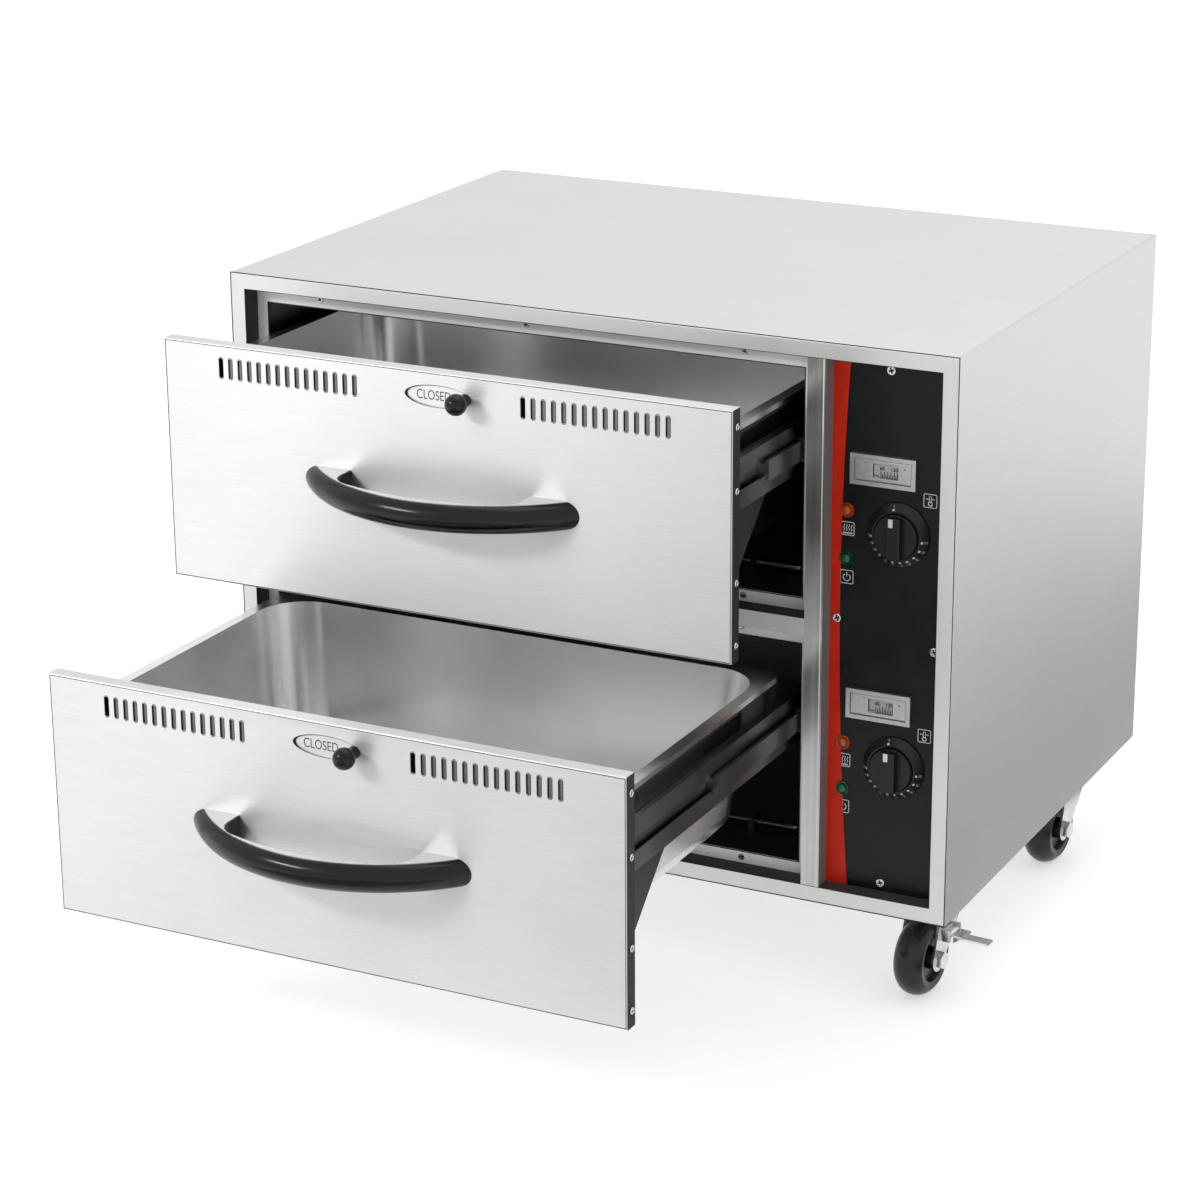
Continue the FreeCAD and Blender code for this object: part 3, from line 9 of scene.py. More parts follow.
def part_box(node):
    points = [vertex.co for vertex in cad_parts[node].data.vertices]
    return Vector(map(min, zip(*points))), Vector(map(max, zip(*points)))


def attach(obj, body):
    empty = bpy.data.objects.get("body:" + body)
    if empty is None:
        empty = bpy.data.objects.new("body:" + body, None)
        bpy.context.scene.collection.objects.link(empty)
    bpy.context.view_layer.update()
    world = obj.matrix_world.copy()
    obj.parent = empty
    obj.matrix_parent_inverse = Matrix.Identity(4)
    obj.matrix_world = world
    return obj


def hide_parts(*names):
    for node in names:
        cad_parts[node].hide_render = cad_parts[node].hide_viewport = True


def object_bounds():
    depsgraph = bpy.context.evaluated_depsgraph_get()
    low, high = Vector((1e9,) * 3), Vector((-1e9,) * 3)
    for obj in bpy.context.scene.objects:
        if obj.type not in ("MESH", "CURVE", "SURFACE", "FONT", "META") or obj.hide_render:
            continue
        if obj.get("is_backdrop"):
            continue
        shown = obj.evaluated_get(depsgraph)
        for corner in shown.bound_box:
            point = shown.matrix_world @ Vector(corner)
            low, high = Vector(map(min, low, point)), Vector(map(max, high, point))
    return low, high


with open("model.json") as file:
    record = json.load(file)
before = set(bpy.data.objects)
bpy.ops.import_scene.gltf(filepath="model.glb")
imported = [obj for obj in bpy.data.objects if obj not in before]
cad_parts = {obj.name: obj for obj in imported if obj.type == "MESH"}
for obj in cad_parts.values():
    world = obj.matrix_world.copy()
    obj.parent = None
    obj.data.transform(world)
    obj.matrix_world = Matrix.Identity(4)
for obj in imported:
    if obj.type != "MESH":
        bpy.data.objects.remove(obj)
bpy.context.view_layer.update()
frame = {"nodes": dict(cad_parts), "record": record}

NODES = frame["nodes"]
SCENE = bpy.context.scene
LEVELS = ("upper", "lower")
# A millimetre in metres, and a metre in millimetres
MM = 0.001
METRE = 1000


# ---------------------------------------------------------------------------------------------------
# Finishes
# ---------------------------------------------------------------------------------------------------
def linear(hex_colour):
    """An sRGB hex colour as linear RGBA."""
    channels = [int(hex_colour[i:i + 2], 16) / 255 for i in (1, 3, 5)]
    return [c / 12.92 if c <= 0.04045 else ((c + 0.055) / 1.055) ** 2.4 for c in channels] + [1.0]


def add_node(tree, kind, settings=None, inputs=None, stops=None):
    """Adds a shader node with its settings and links.

    An input is a plain value, an output socket, or a node whose first output is meant.  The stops of a
    colour ramp are pairs of a place and a hex colour or a grey.  A Mix node's sockets go by number: 0
    is the share of the second input, and the two inputs are 2 and 3 for numbers, 4 and 5 for vectors,
    and 6 and 7 for colours, which come out at 0, 1 and 2.
    """
    made = tree.nodes.new("ShaderNode" + kind)
    for name, value in (settings or {}).items():
        setattr(made, name, value)
    for name, value in (inputs or {}).items():
        source = value.outputs[0] if isinstance(value, bpy.types.Node) else value
        if isinstance(source, bpy.types.NodeSocket):
            tree.links.new(source, made.inputs[name])
        else:
            made.inputs[name].default_value = source
    if stops:
        for element, (place, shade) in zip(made.color_ramp.elements, stops):
            element.position = place
            element.color = linear(shade) if isinstance(shade, str) else (shade, shade, shade, 1)
    return made


def new_finish(name):
    """An empty material and the coordinates of the piece that wears it."""
    material = bpy.data.materials.new(name)
    material.use_nodes = True
    material.node_tree.nodes.clear()
    return material, material.node_tree, add_node(material.node_tree, "TexCoord")


# Noise mostly stays inside these spans, so a ramp laid over one shows both of its ends
WIDE, NARROW = (0.3, 0.7), (0.35, 0.65)
# A face looks along an axis where its normal's share of that axis is above this
FACING = 0.7


def grain_of(tree, places, length_mm, pitch_mm, upright):
    """Brush marks close together: upright, or along X, and along Y on faces that look sideways."""
    looks = add_node(tree, "SeparateXYZ", inputs={"Vector": places.outputs["Normal"]})
    away = add_node(tree, "Math", {"operation": "ABSOLUTE"}, {0: looks.outputs["X"]})
    sideways = add_node(tree, "Math", {"operation": "GREATER_THAN"}, {0: away, 1: FACING})
    long, fine = METRE / length_mm, METRE / pitch_mm
    if upright:
        scales = (fine, fine, long), (fine, fine, long)
    else:
        scales = (long, fine, fine), (fine, long, fine)
    across, along = [
        add_node(tree, "Mapping", inputs={"Vector": places.outputs["Object"], "Scale": scale})
        for scale in scales
    ]
    lines = add_node(tree, "Mix", {"data_type": "VECTOR"}, {0: sideways, 4: across, 5: along})
    return add_node(tree, "TexNoise", inputs={"Vector": lines.outputs[1], "Scale": 1.0, "Detail": 2.0})


def inner_folds(tree, places, within_mm, below_mm):
    """Where painted shade goes: 1 on faces that look sideways near enough to the middle, or up and low
    enough, and 0 elsewhere.
    """
    looks = add_node(tree, "SeparateXYZ", inputs={"Vector": places.outputs["Normal"]})
    lies = add_node(tree, "SeparateXYZ", inputs={"Vector": places.outputs["Object"]})
    sideways = add_node(tree, "Math", {"operation": "ABSOLUTE"}, {0: looks.outputs["X"]})
    off_middle = add_node(tree, "Math", {"operation": "ABSOLUTE"}, {0: lies.outputs["X"]})
    found = []
    for turn, place, limit_mm in ((sideways, off_middle, within_mm),
                                  (looks.outputs["Z"], lies.outputs["Z"], below_mm)):
        faces = add_node(tree, "Math", {"operation": "GREATER_THAN"}, {0: turn, 1: FACING})
        near = add_node(tree, "Math", {"operation": "LESS_THAN"}, {0: place, 1: limit_mm * MM})
        found.append(add_node(tree, "Math", {"operation": "MULTIPLY"}, {0: faces, 1: near}))
    return add_node(tree, "Math", {"operation": "ADD", "use_clamp": True}, {0: found[0], 1: found[1]})


# Rolled sheet has faint clouds this wide, and they have this share in its brushed look
SHEET_CLOUD_MM, CLOUD_SHARE = 160, 0.3
# A painted highlight makes the flange paler from the first of these places to the second, in metres along
# X
HIGHLIGHT_FROM, HIGHLIGHT_TO = 0.2, -0.1
# Skin of the mill: less mirror-like than brushed steel
MILL_ROUGHNESS, MILL_METALLIC = (0.66, 0.74), 0.5


def brushed_steel(name, dark, light, smooth, coarse, length_mm=70, pitch_mm=1.3, relief_mm=0.004,
                  one_way=0.0, upright=False, folds=None, within_mm=1000, below_mm=0, flange=None,
                  metallic=1.0):
    """Stainless sheet finished with a belt.

    The belt leaves fine parallel lines, so the sheet mirrors softly, streaked along the grain.  The
    real lines are about 0.1 mm apart, and they are drawn wider so that they show.  The higher one_way
    is, the more the lines smear what they mirror across themselves.  The narrow folds inside the
    openings, and faces that look up low down, get a darker colour that is painted shade, with the
    rougher skin of the mill, which the belt doesn't reach.  A flange at the front gets a painted
    highlight: it turns paler and less metallic towards its left end.
    """
    material, tree, places = new_finish(name)
    grain = grain_of(tree, places, length_mm, pitch_mm, upright)
    clouds = add_node(tree, "TexNoise", inputs={
        "Vector": places.outputs["Object"], "Scale": METRE / SHEET_CLOUD_MM, "Detail": 3.0})
    both = add_node(tree, "Mix", {"data_type": "FLOAT"}, {0: CLOUD_SHARE, 2: grain, 3: clouds})
    bump = add_node(tree, "Bump", inputs={"Height": grain, "Strength": 0.5, "Distance": relief_mm * MM})
    colour = add_node(tree, "ValToRGB", inputs={"Fac": both}, stops=zip(WIDE, (dark, light)))
    roughness = add_node(tree, "ValToRGB", inputs={"Fac": both}, stops=zip(WIDE, (smooth, coarse)))
    in_colour = {"data_type": "RGBA"}
    if flange:
        # Painted highlight: faces that look to the front turn paler and less metallic towards the left
        # end
        looks = add_node(tree, "SeparateXYZ", inputs={"Vector": places.outputs["Normal"]})
        lies = add_node(tree, "SeparateXYZ", inputs={"Vector": places.outputs["Object"]})
        forward = add_node(tree, "Math", {"operation": "LESS_THAN"}, {0: looks.outputs["Y"], 1: -FACING})
        leftward = add_node(tree, "MapRange", inputs={
            "Value": lies.outputs["X"], "From Min": HIGHLIGHT_FROM, "From Max": HIGHLIGHT_TO})
        fine = add_node(tree, "Math", {"operation": "MULTIPLY"}, {0: forward, 1: leftward})
        colour = add_node(tree, "Mix", in_colour, {0: fine, 6: colour, 7: linear(flange)}).outputs[2]
        metallic = add_node(tree, "MapRange", inputs={"Value": fine, "To Min": 1.0, "To Max": metallic})
    if folds:
        # Painted shade: the folds take a darker colour, with the rougher skin of the mill
        painted_fold_shade = inner_folds(tree, places, within_mm, below_mm)
        matt = add_node(tree, "ValToRGB", inputs={"Fac": clouds}, stops=zip(WIDE, MILL_ROUGHNESS))
        if not flange:
            metallic = add_node(tree, "MapRange", inputs={
                "Value": painted_fold_shade, "To Min": metallic, "To Max": MILL_METALLIC})
        colour = add_node(tree, "Mix", in_colour, {0: painted_fold_shade, 6: colour, 7: linear(folds)}).outputs[2]
        roughness = add_node(tree, "Mix", in_colour, {0: painted_fold_shade, 6: roughness, 7: matt}).outputs[2]
    steel = add_node(tree, "BsdfPrincipled", inputs={
        "Base Color": colour,
        "Roughness": roughness,
        "Metallic": metallic,
        "Anisotropic": one_way,
        "Anisotropic Rotation": 0.25,
        "Normal": bump,
    })
    if one_way:
        # The lines lie level; the small push along X gives faces that look straight up a direction too
        skin = add_node(tree, "NewGeometry")
        level_lines = add_node(tree, "VectorMath", {"operation": "CROSS_PRODUCT"},
                               {0: skin.outputs["Normal"], 1: (0, 0, 1)})
        pushed = add_node(tree, "VectorMath", {"operation": "ADD"}, {0: level_lines, 1: (0.01, 0, 0)})
        tree.links.new(pushed.outputs[0], steel.inputs["Tangent"])
    add_node(tree, "OutputMaterial", inputs={"Surface": steel})
    return material


def plated(name, dark, light, smooth, coarse, patch_mm=6, relief_mm=0.01):
    """Bright zinc or nickel on steel, or drawn metal: a clean mirror-like skin with faint clouds."""
    material, tree, places = new_finish(name)
    clouds = add_node(tree, "TexNoise", inputs={
        "Vector": places.outputs["Object"], "Scale": METRE / patch_mm, "Detail": 3.0})
    bump = add_node(tree, "Bump", inputs={"Height": clouds, "Strength": 0.3, "Distance": relief_mm * MM})
    colour = add_node(tree, "ValToRGB", inputs={"Fac": clouds}, stops=zip(NARROW, (dark, light)))
    roughness = add_node(tree, "ValToRGB", inputs={"Fac": clouds}, stops=zip(NARROW, (smooth, coarse)))
    metal = add_node(tree, "BsdfPrincipled", inputs={
        "Base Color": colour,
        "Roughness": roughness,
        "Metallic": 1.0,
        "Normal": bump,
    })
    add_node(tree, "OutputMaterial", inputs={"Surface": metal})
    return material


# Mouldings and prints vary a little in shade over this distance
SHADE_PATCH_MM = 25


def moulded(name, dark, light, smooth, coarse, ior, pebble_mm=0.6, relief_mm=0.01, gloss=0.5):
    """Moulded plastic, rubber, lacquer or ink: an even colour with the texture of the mould or screen.

    The real texture is about 0.1 mm wide, and it is drawn wider so that it shows.
    """
    material, tree, places = new_finish(name)
    pebble = add_node(tree, "TexNoise", inputs={
        "Vector": places.outputs["Object"], "Scale": METRE / pebble_mm, "Detail": 1.0})
    clouds = add_node(tree, "TexNoise", inputs={
        "Vector": places.outputs["Object"], "Scale": METRE / SHADE_PATCH_MM, "Detail": 3.0})
    bump = add_node(tree, "Bump", inputs={"Height": pebble, "Strength": 0.4, "Distance": relief_mm * MM})
    colour = add_node(tree, "ValToRGB", inputs={"Fac": clouds}, stops=zip(NARROW, (dark, light)))
    roughness = add_node(tree, "ValToRGB", inputs={"Fac": clouds}, stops=zip(NARROW, (smooth, coarse)))
    plastic = add_node(tree, "BsdfPrincipled", inputs={
        "Base Color": colour,
        "Roughness": roughness,
        "IOR": ior,
        "Specular IOR Level": gloss,
        "Normal": bump,
    })
    add_node(tree, "OutputMaterial", inputs={"Surface": plastic})
    return material


# Width of a zinc crystal
SPANGLE_MM = 12


def galvanised(name):
    """Hot-dip galvanised sheet: dull zinc in crystals, each a little lighter or darker."""
    material, tree, places = new_finish(name)
    spangle = add_node(tree, "TexVoronoi", inputs={
        "Vector": places.outputs["Object"], "Scale": METRE / SPANGLE_MM})
    grey = add_node(tree, "SeparateColor", inputs={"Color": spangle.outputs["Color"]}).outputs["Red"]
    colour = add_node(tree, "ValToRGB", inputs={"Fac": grey}, stops=((0, "#A9ACAE"), (1, "#C6C9CA")))
    roughness = add_node(tree, "ValToRGB", inputs={"Fac": grey}, stops=((0, 0.38), (1, 0.52)))
    zinc = add_node(tree, "BsdfPrincipled", inputs={
        "Base Color": colour,
        "Roughness": roughness,
        "Metallic": 1.0,
    })
    add_node(tree, "OutputMaterial", inputs={"Surface": zinc})
    return material


# Width of the faint streaks in a lens
LENS_STREAK_MM = 5


def lens(name, dark, light, glow):
    """A clear dyed acrylic lens over a small neon lamp: it bends light and keeps a little of it."""
    material, tree, places = new_finish(name)
    streaks = add_node(tree, "TexNoise", inputs={
        "Vector": places.outputs["Object"], "Scale": METRE / LENS_STREAK_MM, "Detail": 3.0})
    colour = add_node(tree, "ValToRGB", inputs={"Fac": streaks}, stops=zip(WIDE, (dark, light)))
    acrylic = add_node(tree, "BsdfPrincipled", inputs={
        "Base Color": colour,
        "Roughness": 0.12,
        "IOR": 1.49,
        "Transmission Weight": 0.35,
        "Emission Color": linear(light),
        "Emission Strength": glow,
    })
    add_node(tree, "OutputMaterial", inputs={"Surface": acrylic})
    return material


# The fibres are far too fine to show, so their tufts are drawn this wide and this deep
TUFT_MM, TUFT_DEPTH_MM = 4, 1


def wool(name):
    """Resin-bonded mineral wool: matt yellow-brown fibres in tufts."""
    material, tree, places = new_finish(name)
    tufts = add_node(tree, "TexNoise", inputs={
        "Vector": places.outputs["Object"], "Scale": METRE / TUFT_MM, "Detail": 8.0})
    bump = add_node(tree, "Bump", inputs={
        "Height": tufts, "Strength": 0.8, "Distance": TUFT_DEPTH_MM * MM})
    colour = add_node(tree, "ValToRGB", inputs={"Fac": tufts}, stops=zip(WIDE, ("#7C6A42", "#C9B988")))
    fluff = add_node(tree, "BsdfPrincipled", inputs={
        "Base Color": colour,
        "Roughness": 0.95,
        "Normal": bump,
    })
    add_node(tree, "OutputMaterial", inputs={"Surface": fluff})
    return material


# Finishes by the names that the source gives them.  Each has its darkest and lightest colour and its
# smoothest and coarsest roughness, and then what sets it apart.
FINISHES = {
    # Wrapper: a fine belt leaves it satin and pale; painted highlight at the flange's left, painted shade
    # in folds
    "cabinet_stainless": brushed_steel(
        "Cabinet_satin_stainless", "#D3D3D2", "#D9D9D8", 0.4, 0.44, relief_mm=0.0004, one_way=0.5,
        folds="#5A5B5B", within_mm=372, below_mm=500, flange="#FAFAF9", metallic=0.1),
    # Drawer fronts: a coarser belt, whose level lines draw each reflection out upright; painted shade on
    # the sides
    "front_stainless": brushed_steel(
        "Front_brushed_stainless", "#CFCFCE", "#DBDBDA", 0.42, 0.5, length_mm=60, pitch_mm=1.1,
        relief_mm=0.001, one_way=0.75, folds="#3E3F40"),
    # Liners of the fronts: cold-rolled sheet as the mill left it, greyer and a little shinier
    "inner_stainless": brushed_steel(
        "Mill_finish_stainless", "#A9AAAA", "#BDBEBE", 0.28, 0.38, relief_mm=0.001),
    # Pans: deep drawing smooths the sheet, so the walls mirror each other in soft bright streaks
    "pan_stainless": plated(
        "Drawn_pan_stainless", "#E4E4E3", "#EAEAE9", 0.22, 0.26, patch_mm=80, relief_mm=0.0002),
    # Base and back: a dull patchwork of grey zinc crystals
    "galvanised_sheet": galvanised("Galvanised_steel_sheet"),
    # Slides: thin zinc on rolled channel, darkened with painted shade for the inside of the bay that it
    # mirrors
    "slide_zinc": plated(
        "Zinc_plated_slide_painted_shade", "#6C6E70", "#787A7C", 0.3, 0.36, patch_mm=60, relief_mm=0.0004),
    # Grips and damper balls: deep black that shows one sharp glint of each lamp
    "grip_black": moulded(
        "Glossy_black_phenolic", "#030304", "#060607", 0.14, 0.2, ior=1.6, pebble_mm=3,
        relief_mm=0.002, gloss=0.24),
    # Inlay of the grips: pale satin, brushed along their length
    "inlay_steel": brushed_steel(
        "Handle_satin_inlay", "#C4C4C3", "#D2D2D1", 0.34, 0.42, length_mm=25, pitch_mm=0.8,
        relief_mm=0.001),
    # Control fascia: a satin film that turns reflections into an even dark grey
    "fascia_black": moulded(
        "Satin_black_fascia_film", "#0D0E0F", "#121314", 0.34, 0.42, ior=1.5, pebble_mm=0.5,
        relief_mm=0.004, gloss=0.25),
    # Stripe: opaque red ink with the low sheen of a screen print
    "stripe_red": moulded(
        "Printed_red_ink", "#D62508", "#DE2C0C", 0.36, 0.44, ior=1.5, pebble_mm=0.5, relief_mm=0.003,
        gloss=0.25),
    # Bezels of the thermometers: silver lacquer, softer than bare metal
    "bezel_silver": plated("Silver_lacquered_bezel", "#C0C1C1", "#C8C9C9", 0.38, 0.42, patch_mm=4),
    # Scales of the thermometers: uncoated pale grey card, quite matt
    "scale_pale": moulded(
        "Printed_scale_card", "#AFB0AE", "#B9BAB8", 0.5, 0.6, ior=1.45, pebble_mm=0.4,
        relief_mm=0.003),
    # Lamp rings: deep colour at the edges where the dyed plastic is thick
    "lens_amber": lens("Amber_dyed_acrylic", "#8E1D04", "#C4380A", glow=0.12),
    "lens_green": lens("Green_dyed_acrylic", "#023A1D", "#07552D", glow=0.03),
    # Knobs and their skirts: fine mould grain that spreads highlights wide
    "knob_black": moulded(
        "Matt_black_nylon", "#0B0B0C", "#111112", 0.34, 0.46, ior=1.53, pebble_mm=0.5,
        relief_mm=0.01, gloss=0.35),
    # Screws: small bright points
    "screw_steel": plated(
        "Nickel_plated_screw", "#C9CACA", "#E0E0E0", 0.14, 0.24, patch_mm=3, relief_mm=0.003),
    # Caster plates, forks and pedals: bright bluish zinc over pressed steel
    "caster_zinc": plated(
        "Bright_zinc_caster", "#C4C6C7", "#DCDDDD", 0.14, 0.24, patch_mm=12, relief_mm=0.002),
    # Wheels: black nylon that the floor has rubbed to a low shine
    "wheel_black": moulded(
        "Black_nylon_wheel", "#08080A", "#0E0E0F", 0.24, 0.34, ior=1.53, pebble_mm=1.2,
        relief_mm=0.01, gloss=0.4),
    # Insulation: a matt yellow-brown felt
    "mineral_wool": wool("Mineral_wool"),
    # Heating elements: polished tube that heat has turned brown-grey
    "heater_sheath": plated(
        "Polished_heater_tube", "#56544F", "#64625E", 0.16, 0.2, patch_mm=30, relief_mm=0.0002),
    # Sensing bulbs: drawn copper, warm and slightly dull
    "bulb_copper": plated(
        "Copper_bulb", "#B66A48", "#D08A64", 0.25, 0.4, patch_mm=5, relief_mm=0.002),
    # Thermostat bodies and terminal block: dark plastic with a plain mould grain
    "moulding_dark": moulded("Dark_moulded_housing", "#1A1B1D", "#242527", 0.4, 0.5, ior=1.53),
}
# Mullion: brushed upright in long strokes, greyer than the wrapper, and painted shade on its folds
MULLION_STEEL = brushed_steel(
    "Mullion_upright_brushed_stainless", "#ACACAB", "#C6C6C5", 0.28, 0.36, length_mm=400, pitch_mm=3,
    relief_mm=0.0004, upright=True, folds="#8A8A8A")
# Damper strips: a dark colour that is painted shade, for the little light that reaches them behind the
# slots
SHADED_DAMPER_STRIP = brushed_steel(
    "Damper_strip_painted_shade", "#6C6D6E", "#808182", 0.35, 0.42, length_mm=60, pitch_mm=1.1,
    relief_mm=0.0004)
# Frames that carry the pans: a dark colour that is painted shade, for the unlit bay that they mirror
SHADED_FRAME_STEEL = brushed_steel(
    "Drawer_frame_painted_shade", "#444546", "#505152", 0.36, 0.42, length_mm=60, pitch_mm=1.1,
    relief_mm=0.0004)
# Bay liners: faint level lines, and a mid grey that is painted shade for the dim bay
SHADED_LINER_STEEL = brushed_steel(
    "Bay_liner_painted_shade", "#666767", "#727373", 0.3, 0.4, length_mm=60, pitch_mm=1.1,
    relief_mm=0.0004)
# Rail between the drawers: pale face; painted shade darkens its folds and the faces that look up
RAIL_FACE = brushed_steel(
    "Mid_rail_pale_stainless", "#E6E6E5", "#EEEEED", 0.5, 0.56, length_mm=60, pitch_mm=1.1,
    relief_mm=0.001, one_way=0.7, folds="#3A3A3A", metallic=0.6, below_mm=1000)
# Lip frames: a painted highlight makes the face almost white and hardly metallic, with painted shade in
# the folds
LIP_STEEL = brushed_steel(
    "Lip_pale_stainless", "#F8F8F7", "#FCFCFB", 0.5, 0.56, length_mm=60, pitch_mm=1.1,
    relief_mm=0.001, one_way=0.7, folds="#5A5B5B", metallic=0.1)
# Lit caps of the lamps: the facets glow a little paler than their rings
LIT_CAP = {"amber": lens("Lit_amber_cap", "#8E3A08", "#C8701F", glow=0.06),
           "green": lens("Lit_green_cap", "#0A5A3A", "#1F8A60", glow=0.03)}
# Inks: flat opaque films with a dull sheen
PRINT_WHITE = moulded(
    "White_screen_ink", "#E4E5E5", "#F0F1F1", 0.45, 0.55, ior=1.5, pebble_mm=0.4, relief_mm=0.002,
    gloss=0.3)
INK_GREY = moulded(
    "Grey_etched_ink", "#888A8C", "#96989A", 0.45, 0.55, ior=1.5, pebble_mm=0.4, relief_mm=0.002,
    gloss=0.3)
PRINT_GREY = moulded(
    "Dark_grey_screen_ink", "#3C3D3E", "#484A4B", 0.5, 0.6, ior=1.5, pebble_mm=0.4, relief_mm=0.002,
    gloss=0.3)
# Black ink, also used as painted shade in the screws' recesses and on the thermometer scales
BLACK_PRINT_AND_SHADE = moulded(
    "Black_ink_and_painted_shade", "#101112", "#16171A", 0.5, 0.6, ior=1.5, pebble_mm=0.4, relief_mm=0.002,
    gloss=0.3)
# Joints: narrow gaps that give back hardly any light; also painted shade along punched rims and bends
DARK_JOINT_AND_EDGE_SHADE = moulded(
    "Dark_joint_and_painted_edge_shade", "#1E1F1F", "#2A2B2B", 0.5, 0.6, ior=1.5, pebble_mm=0.4, relief_mm=0.002,
    gloss=0.2)

# Nodes whose finish differs from the one that their material slot names
OWN_FINISH = {"mullion": MULLION_STEEL, "mid_rail": RAIL_FACE, "lip_frames": LIP_STEEL}
for level in LEVELS:
    OWN_FINISH[f"{level}_damper_plate"] = SHADED_DAMPER_STRIP
    OWN_FINISH[f"{level}_frame"] = SHADED_FRAME_STEEL
    OWN_FINISH[f"{level}_liner"] = SHADED_LINER_STEEL
# Faces that meet at more than this angle show an edge
SHARP = math.radians(32)

for part in frame["record"]["subparts"]:
    mesh = NODES[part["node"]].data
    mesh.materials.clear()
    mesh.materials.append(OWN_FINISH.get(part["node"], FINISHES[part["material_slot"]]))
    mesh.shade_smooth()
    mesh.set_sharp_from_angle(angle=SHARP)

# Folded sheet has no knife edges: the bends catch the light
for node, radius_mm in (("outer_wrapper", 0.4), ("mullion", 1.4)):
    bend = NODES[node].modifiers.new("Bends", "BEVEL")
    bend.width = radius_mm * MM
    bend.segments = 2
    bend.limit_method = "ANGLE"
    bend.angle_limit = math.radians(60)
    bend.harden_normals = True


# ---------------------------------------------------------------------------------------------------
# Fine pieces.  Their shapes are drawn in millimetres, x to the right and y up, and z comes forward.
# ---------------------------------------------------------------------------------------------------
def corners(node):
    """The lowest and the highest corner of a CAD node, in millimetres."""
    return [Vector(corner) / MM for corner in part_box(node)]


def middle_of(node):
    low, high = corners(node)
    return (low + high) / 2


def separate_boxes(node):
    """Lowest and highest corner of each separate solid of a CAD node, in millimetres."""
    form = bmesh.new()
    form.from_mesh(NODES[node].data)
    form.transform(NODES[node].matrix_world)
    bmesh.ops.remove_doubles(form, verts=form.verts, dist=0.001 * MM)
    unseen = set(form.verts)
    boxes = []
    for first in form.verts:
        if first not in unseen:
            continue
        unseen.remove(first)
        reached = [first]
        for vert in reached:
            for edge in vert.link_edges:
                other = edge.other_vert(vert)
                if other in unseen:
                    unseen.remove(other)
                    reached.append(other)
        places = [vert.co / MM for vert in reached]
        boxes.append([Vector([pick(place[axis] for place in places) for axis in range(3)])
                      for pick in (min, max)])
    form.free()
    return boxes


def circle(x, y, radius, steps=32):
    turns = [2 * math.pi * step / steps for step in range(steps)]
    return [(x + radius * math.cos(turn), y + radius * math.sin(turn)) for turn in turns]


def oval(x, length, height, steps=64):
    return [(x + length / 2 * along, height / 2 * up) for along, up in circle(0, 0, 1, steps)]


def rounded(x, y, width, height, radius, steps=6):
    """A rectangle with round corners."""
    points = []
    for quarter, (side, up) in enumerate(((1, 1), (-1, 1), (-1, -1), (1, -1))):
        centre = (x + side * (width / 2 - radius), y + up * (height / 2 - radius))
        for step in range(steps + 1):
            turn = math.pi / 2 * (quarter + step / steps)
            points.append((centre[0] + radius * math.cos(turn), centre[1] + radius * math.sin(turn)))
    return points


def band(points, width):
    """The outline of an open line of a given width."""
    left, right = [], []
    for place, (x, y) in enumerate(points):
        before, after = points[max(place - 1, 0)], points[min(place + 1, len(points) - 1)]
        along = Vector((after[0] - before[0], after[1] - before[1])).normalized() * width / 2
        left.append((x - along.y, y + along.x))
        right.append((x + along.y, y - along.x))
    return left + right[::-1]


def arc(x, y, radius, start, end, steps=16):
    """Points on an arc; its ends are in degrees."""
    turns = [math.radians(start + (end - start) * step / steps) for step in range(steps + 1)]
    return [(x + radius * math.cos(turn), y + radius * math.sin(turn)) for turn in turns]


def mesh_of(curve):
    holder = bpy.data.objects.new("holder", curve)
    mesh = bpy.data.meshes.new_from_object(holder)
    bpy.data.objects.remove(holder)
    bpy.data.curves.remove(curve)
    return mesh


def plate(outlines, thickness, bevel=0.0):
    """A plate cut to closed outlines, its back on z 0; an outline inside another is a hole."""
    curve = bpy.data.curves.new("outline", "CURVE")
    curve.dimensions = "2D"
    curve.fill_mode = "BOTH"
    curve.extrude = thickness / 2 - bevel
    curve.bevel_depth = bevel
    curve.bevel_resolution = 2
    curve.offset = -bevel
    for points in outlines:
        spline = curve.splines.new("POLY")
        spline.points.add(len(points) - 1)
        for point, (x, y) in zip(spline.points, points):
            point.co = (x, y, 0, 1)
        spline.use_cyclic_u = True
    mesh = mesh_of(curve)
    mesh.transform(Matrix.Translation((0, 0, thickness / 2)))
    return mesh


# A capital's share of the size of a font
CAPITAL = 0.7


def letters(words, height, thickness, stretch=1.0, bolder=0.0):
    """Raised letters centred on the origin; height is that of a capital."""
    curve = bpy.data.curves.new("letters", "FONT")
    curve.body = words
    curve.align_x = "CENTER"
    curve.align_y = "CENTER"
    curve.size = height / CAPITAL
    curve.extrude = thickness / 2
    curve.offset = bolder
    mesh = mesh_of(curve)
    mesh.transform(Matrix.Diagonal((stretch, 1, 1, 1)))
    return mesh


def turned(profile, steps):
    """A closed form turned about z from (radius, height) points that start and end on the axis."""
    form = bmesh.new()
    rings = []
    for radius, height in profile:
        spots = [(0, 0)] if radius == 0 else circle(0, 0, radius, steps)
        rings.append([form.verts.new((x, y, height)) for x, y in spots])
    for inner, outer in zip(rings, rings[1:]):
        for step in range(steps):
            ahead = (step + 1) % steps
            face = [inner[step % len(inner)], inner[ahead % len(inner)], outer[ahead % len(outer)],
                    outer[step % len(outer)]]
            # On the axis two corners fall together
            form.faces.new(list(dict.fromkeys(face)))
    bmesh.ops.recalc_face_normals(form, faces=form.faces)
    mesh = bpy.data.meshes.new("turned")
    form.to_mesh(mesh)
    form.free()
    return mesh


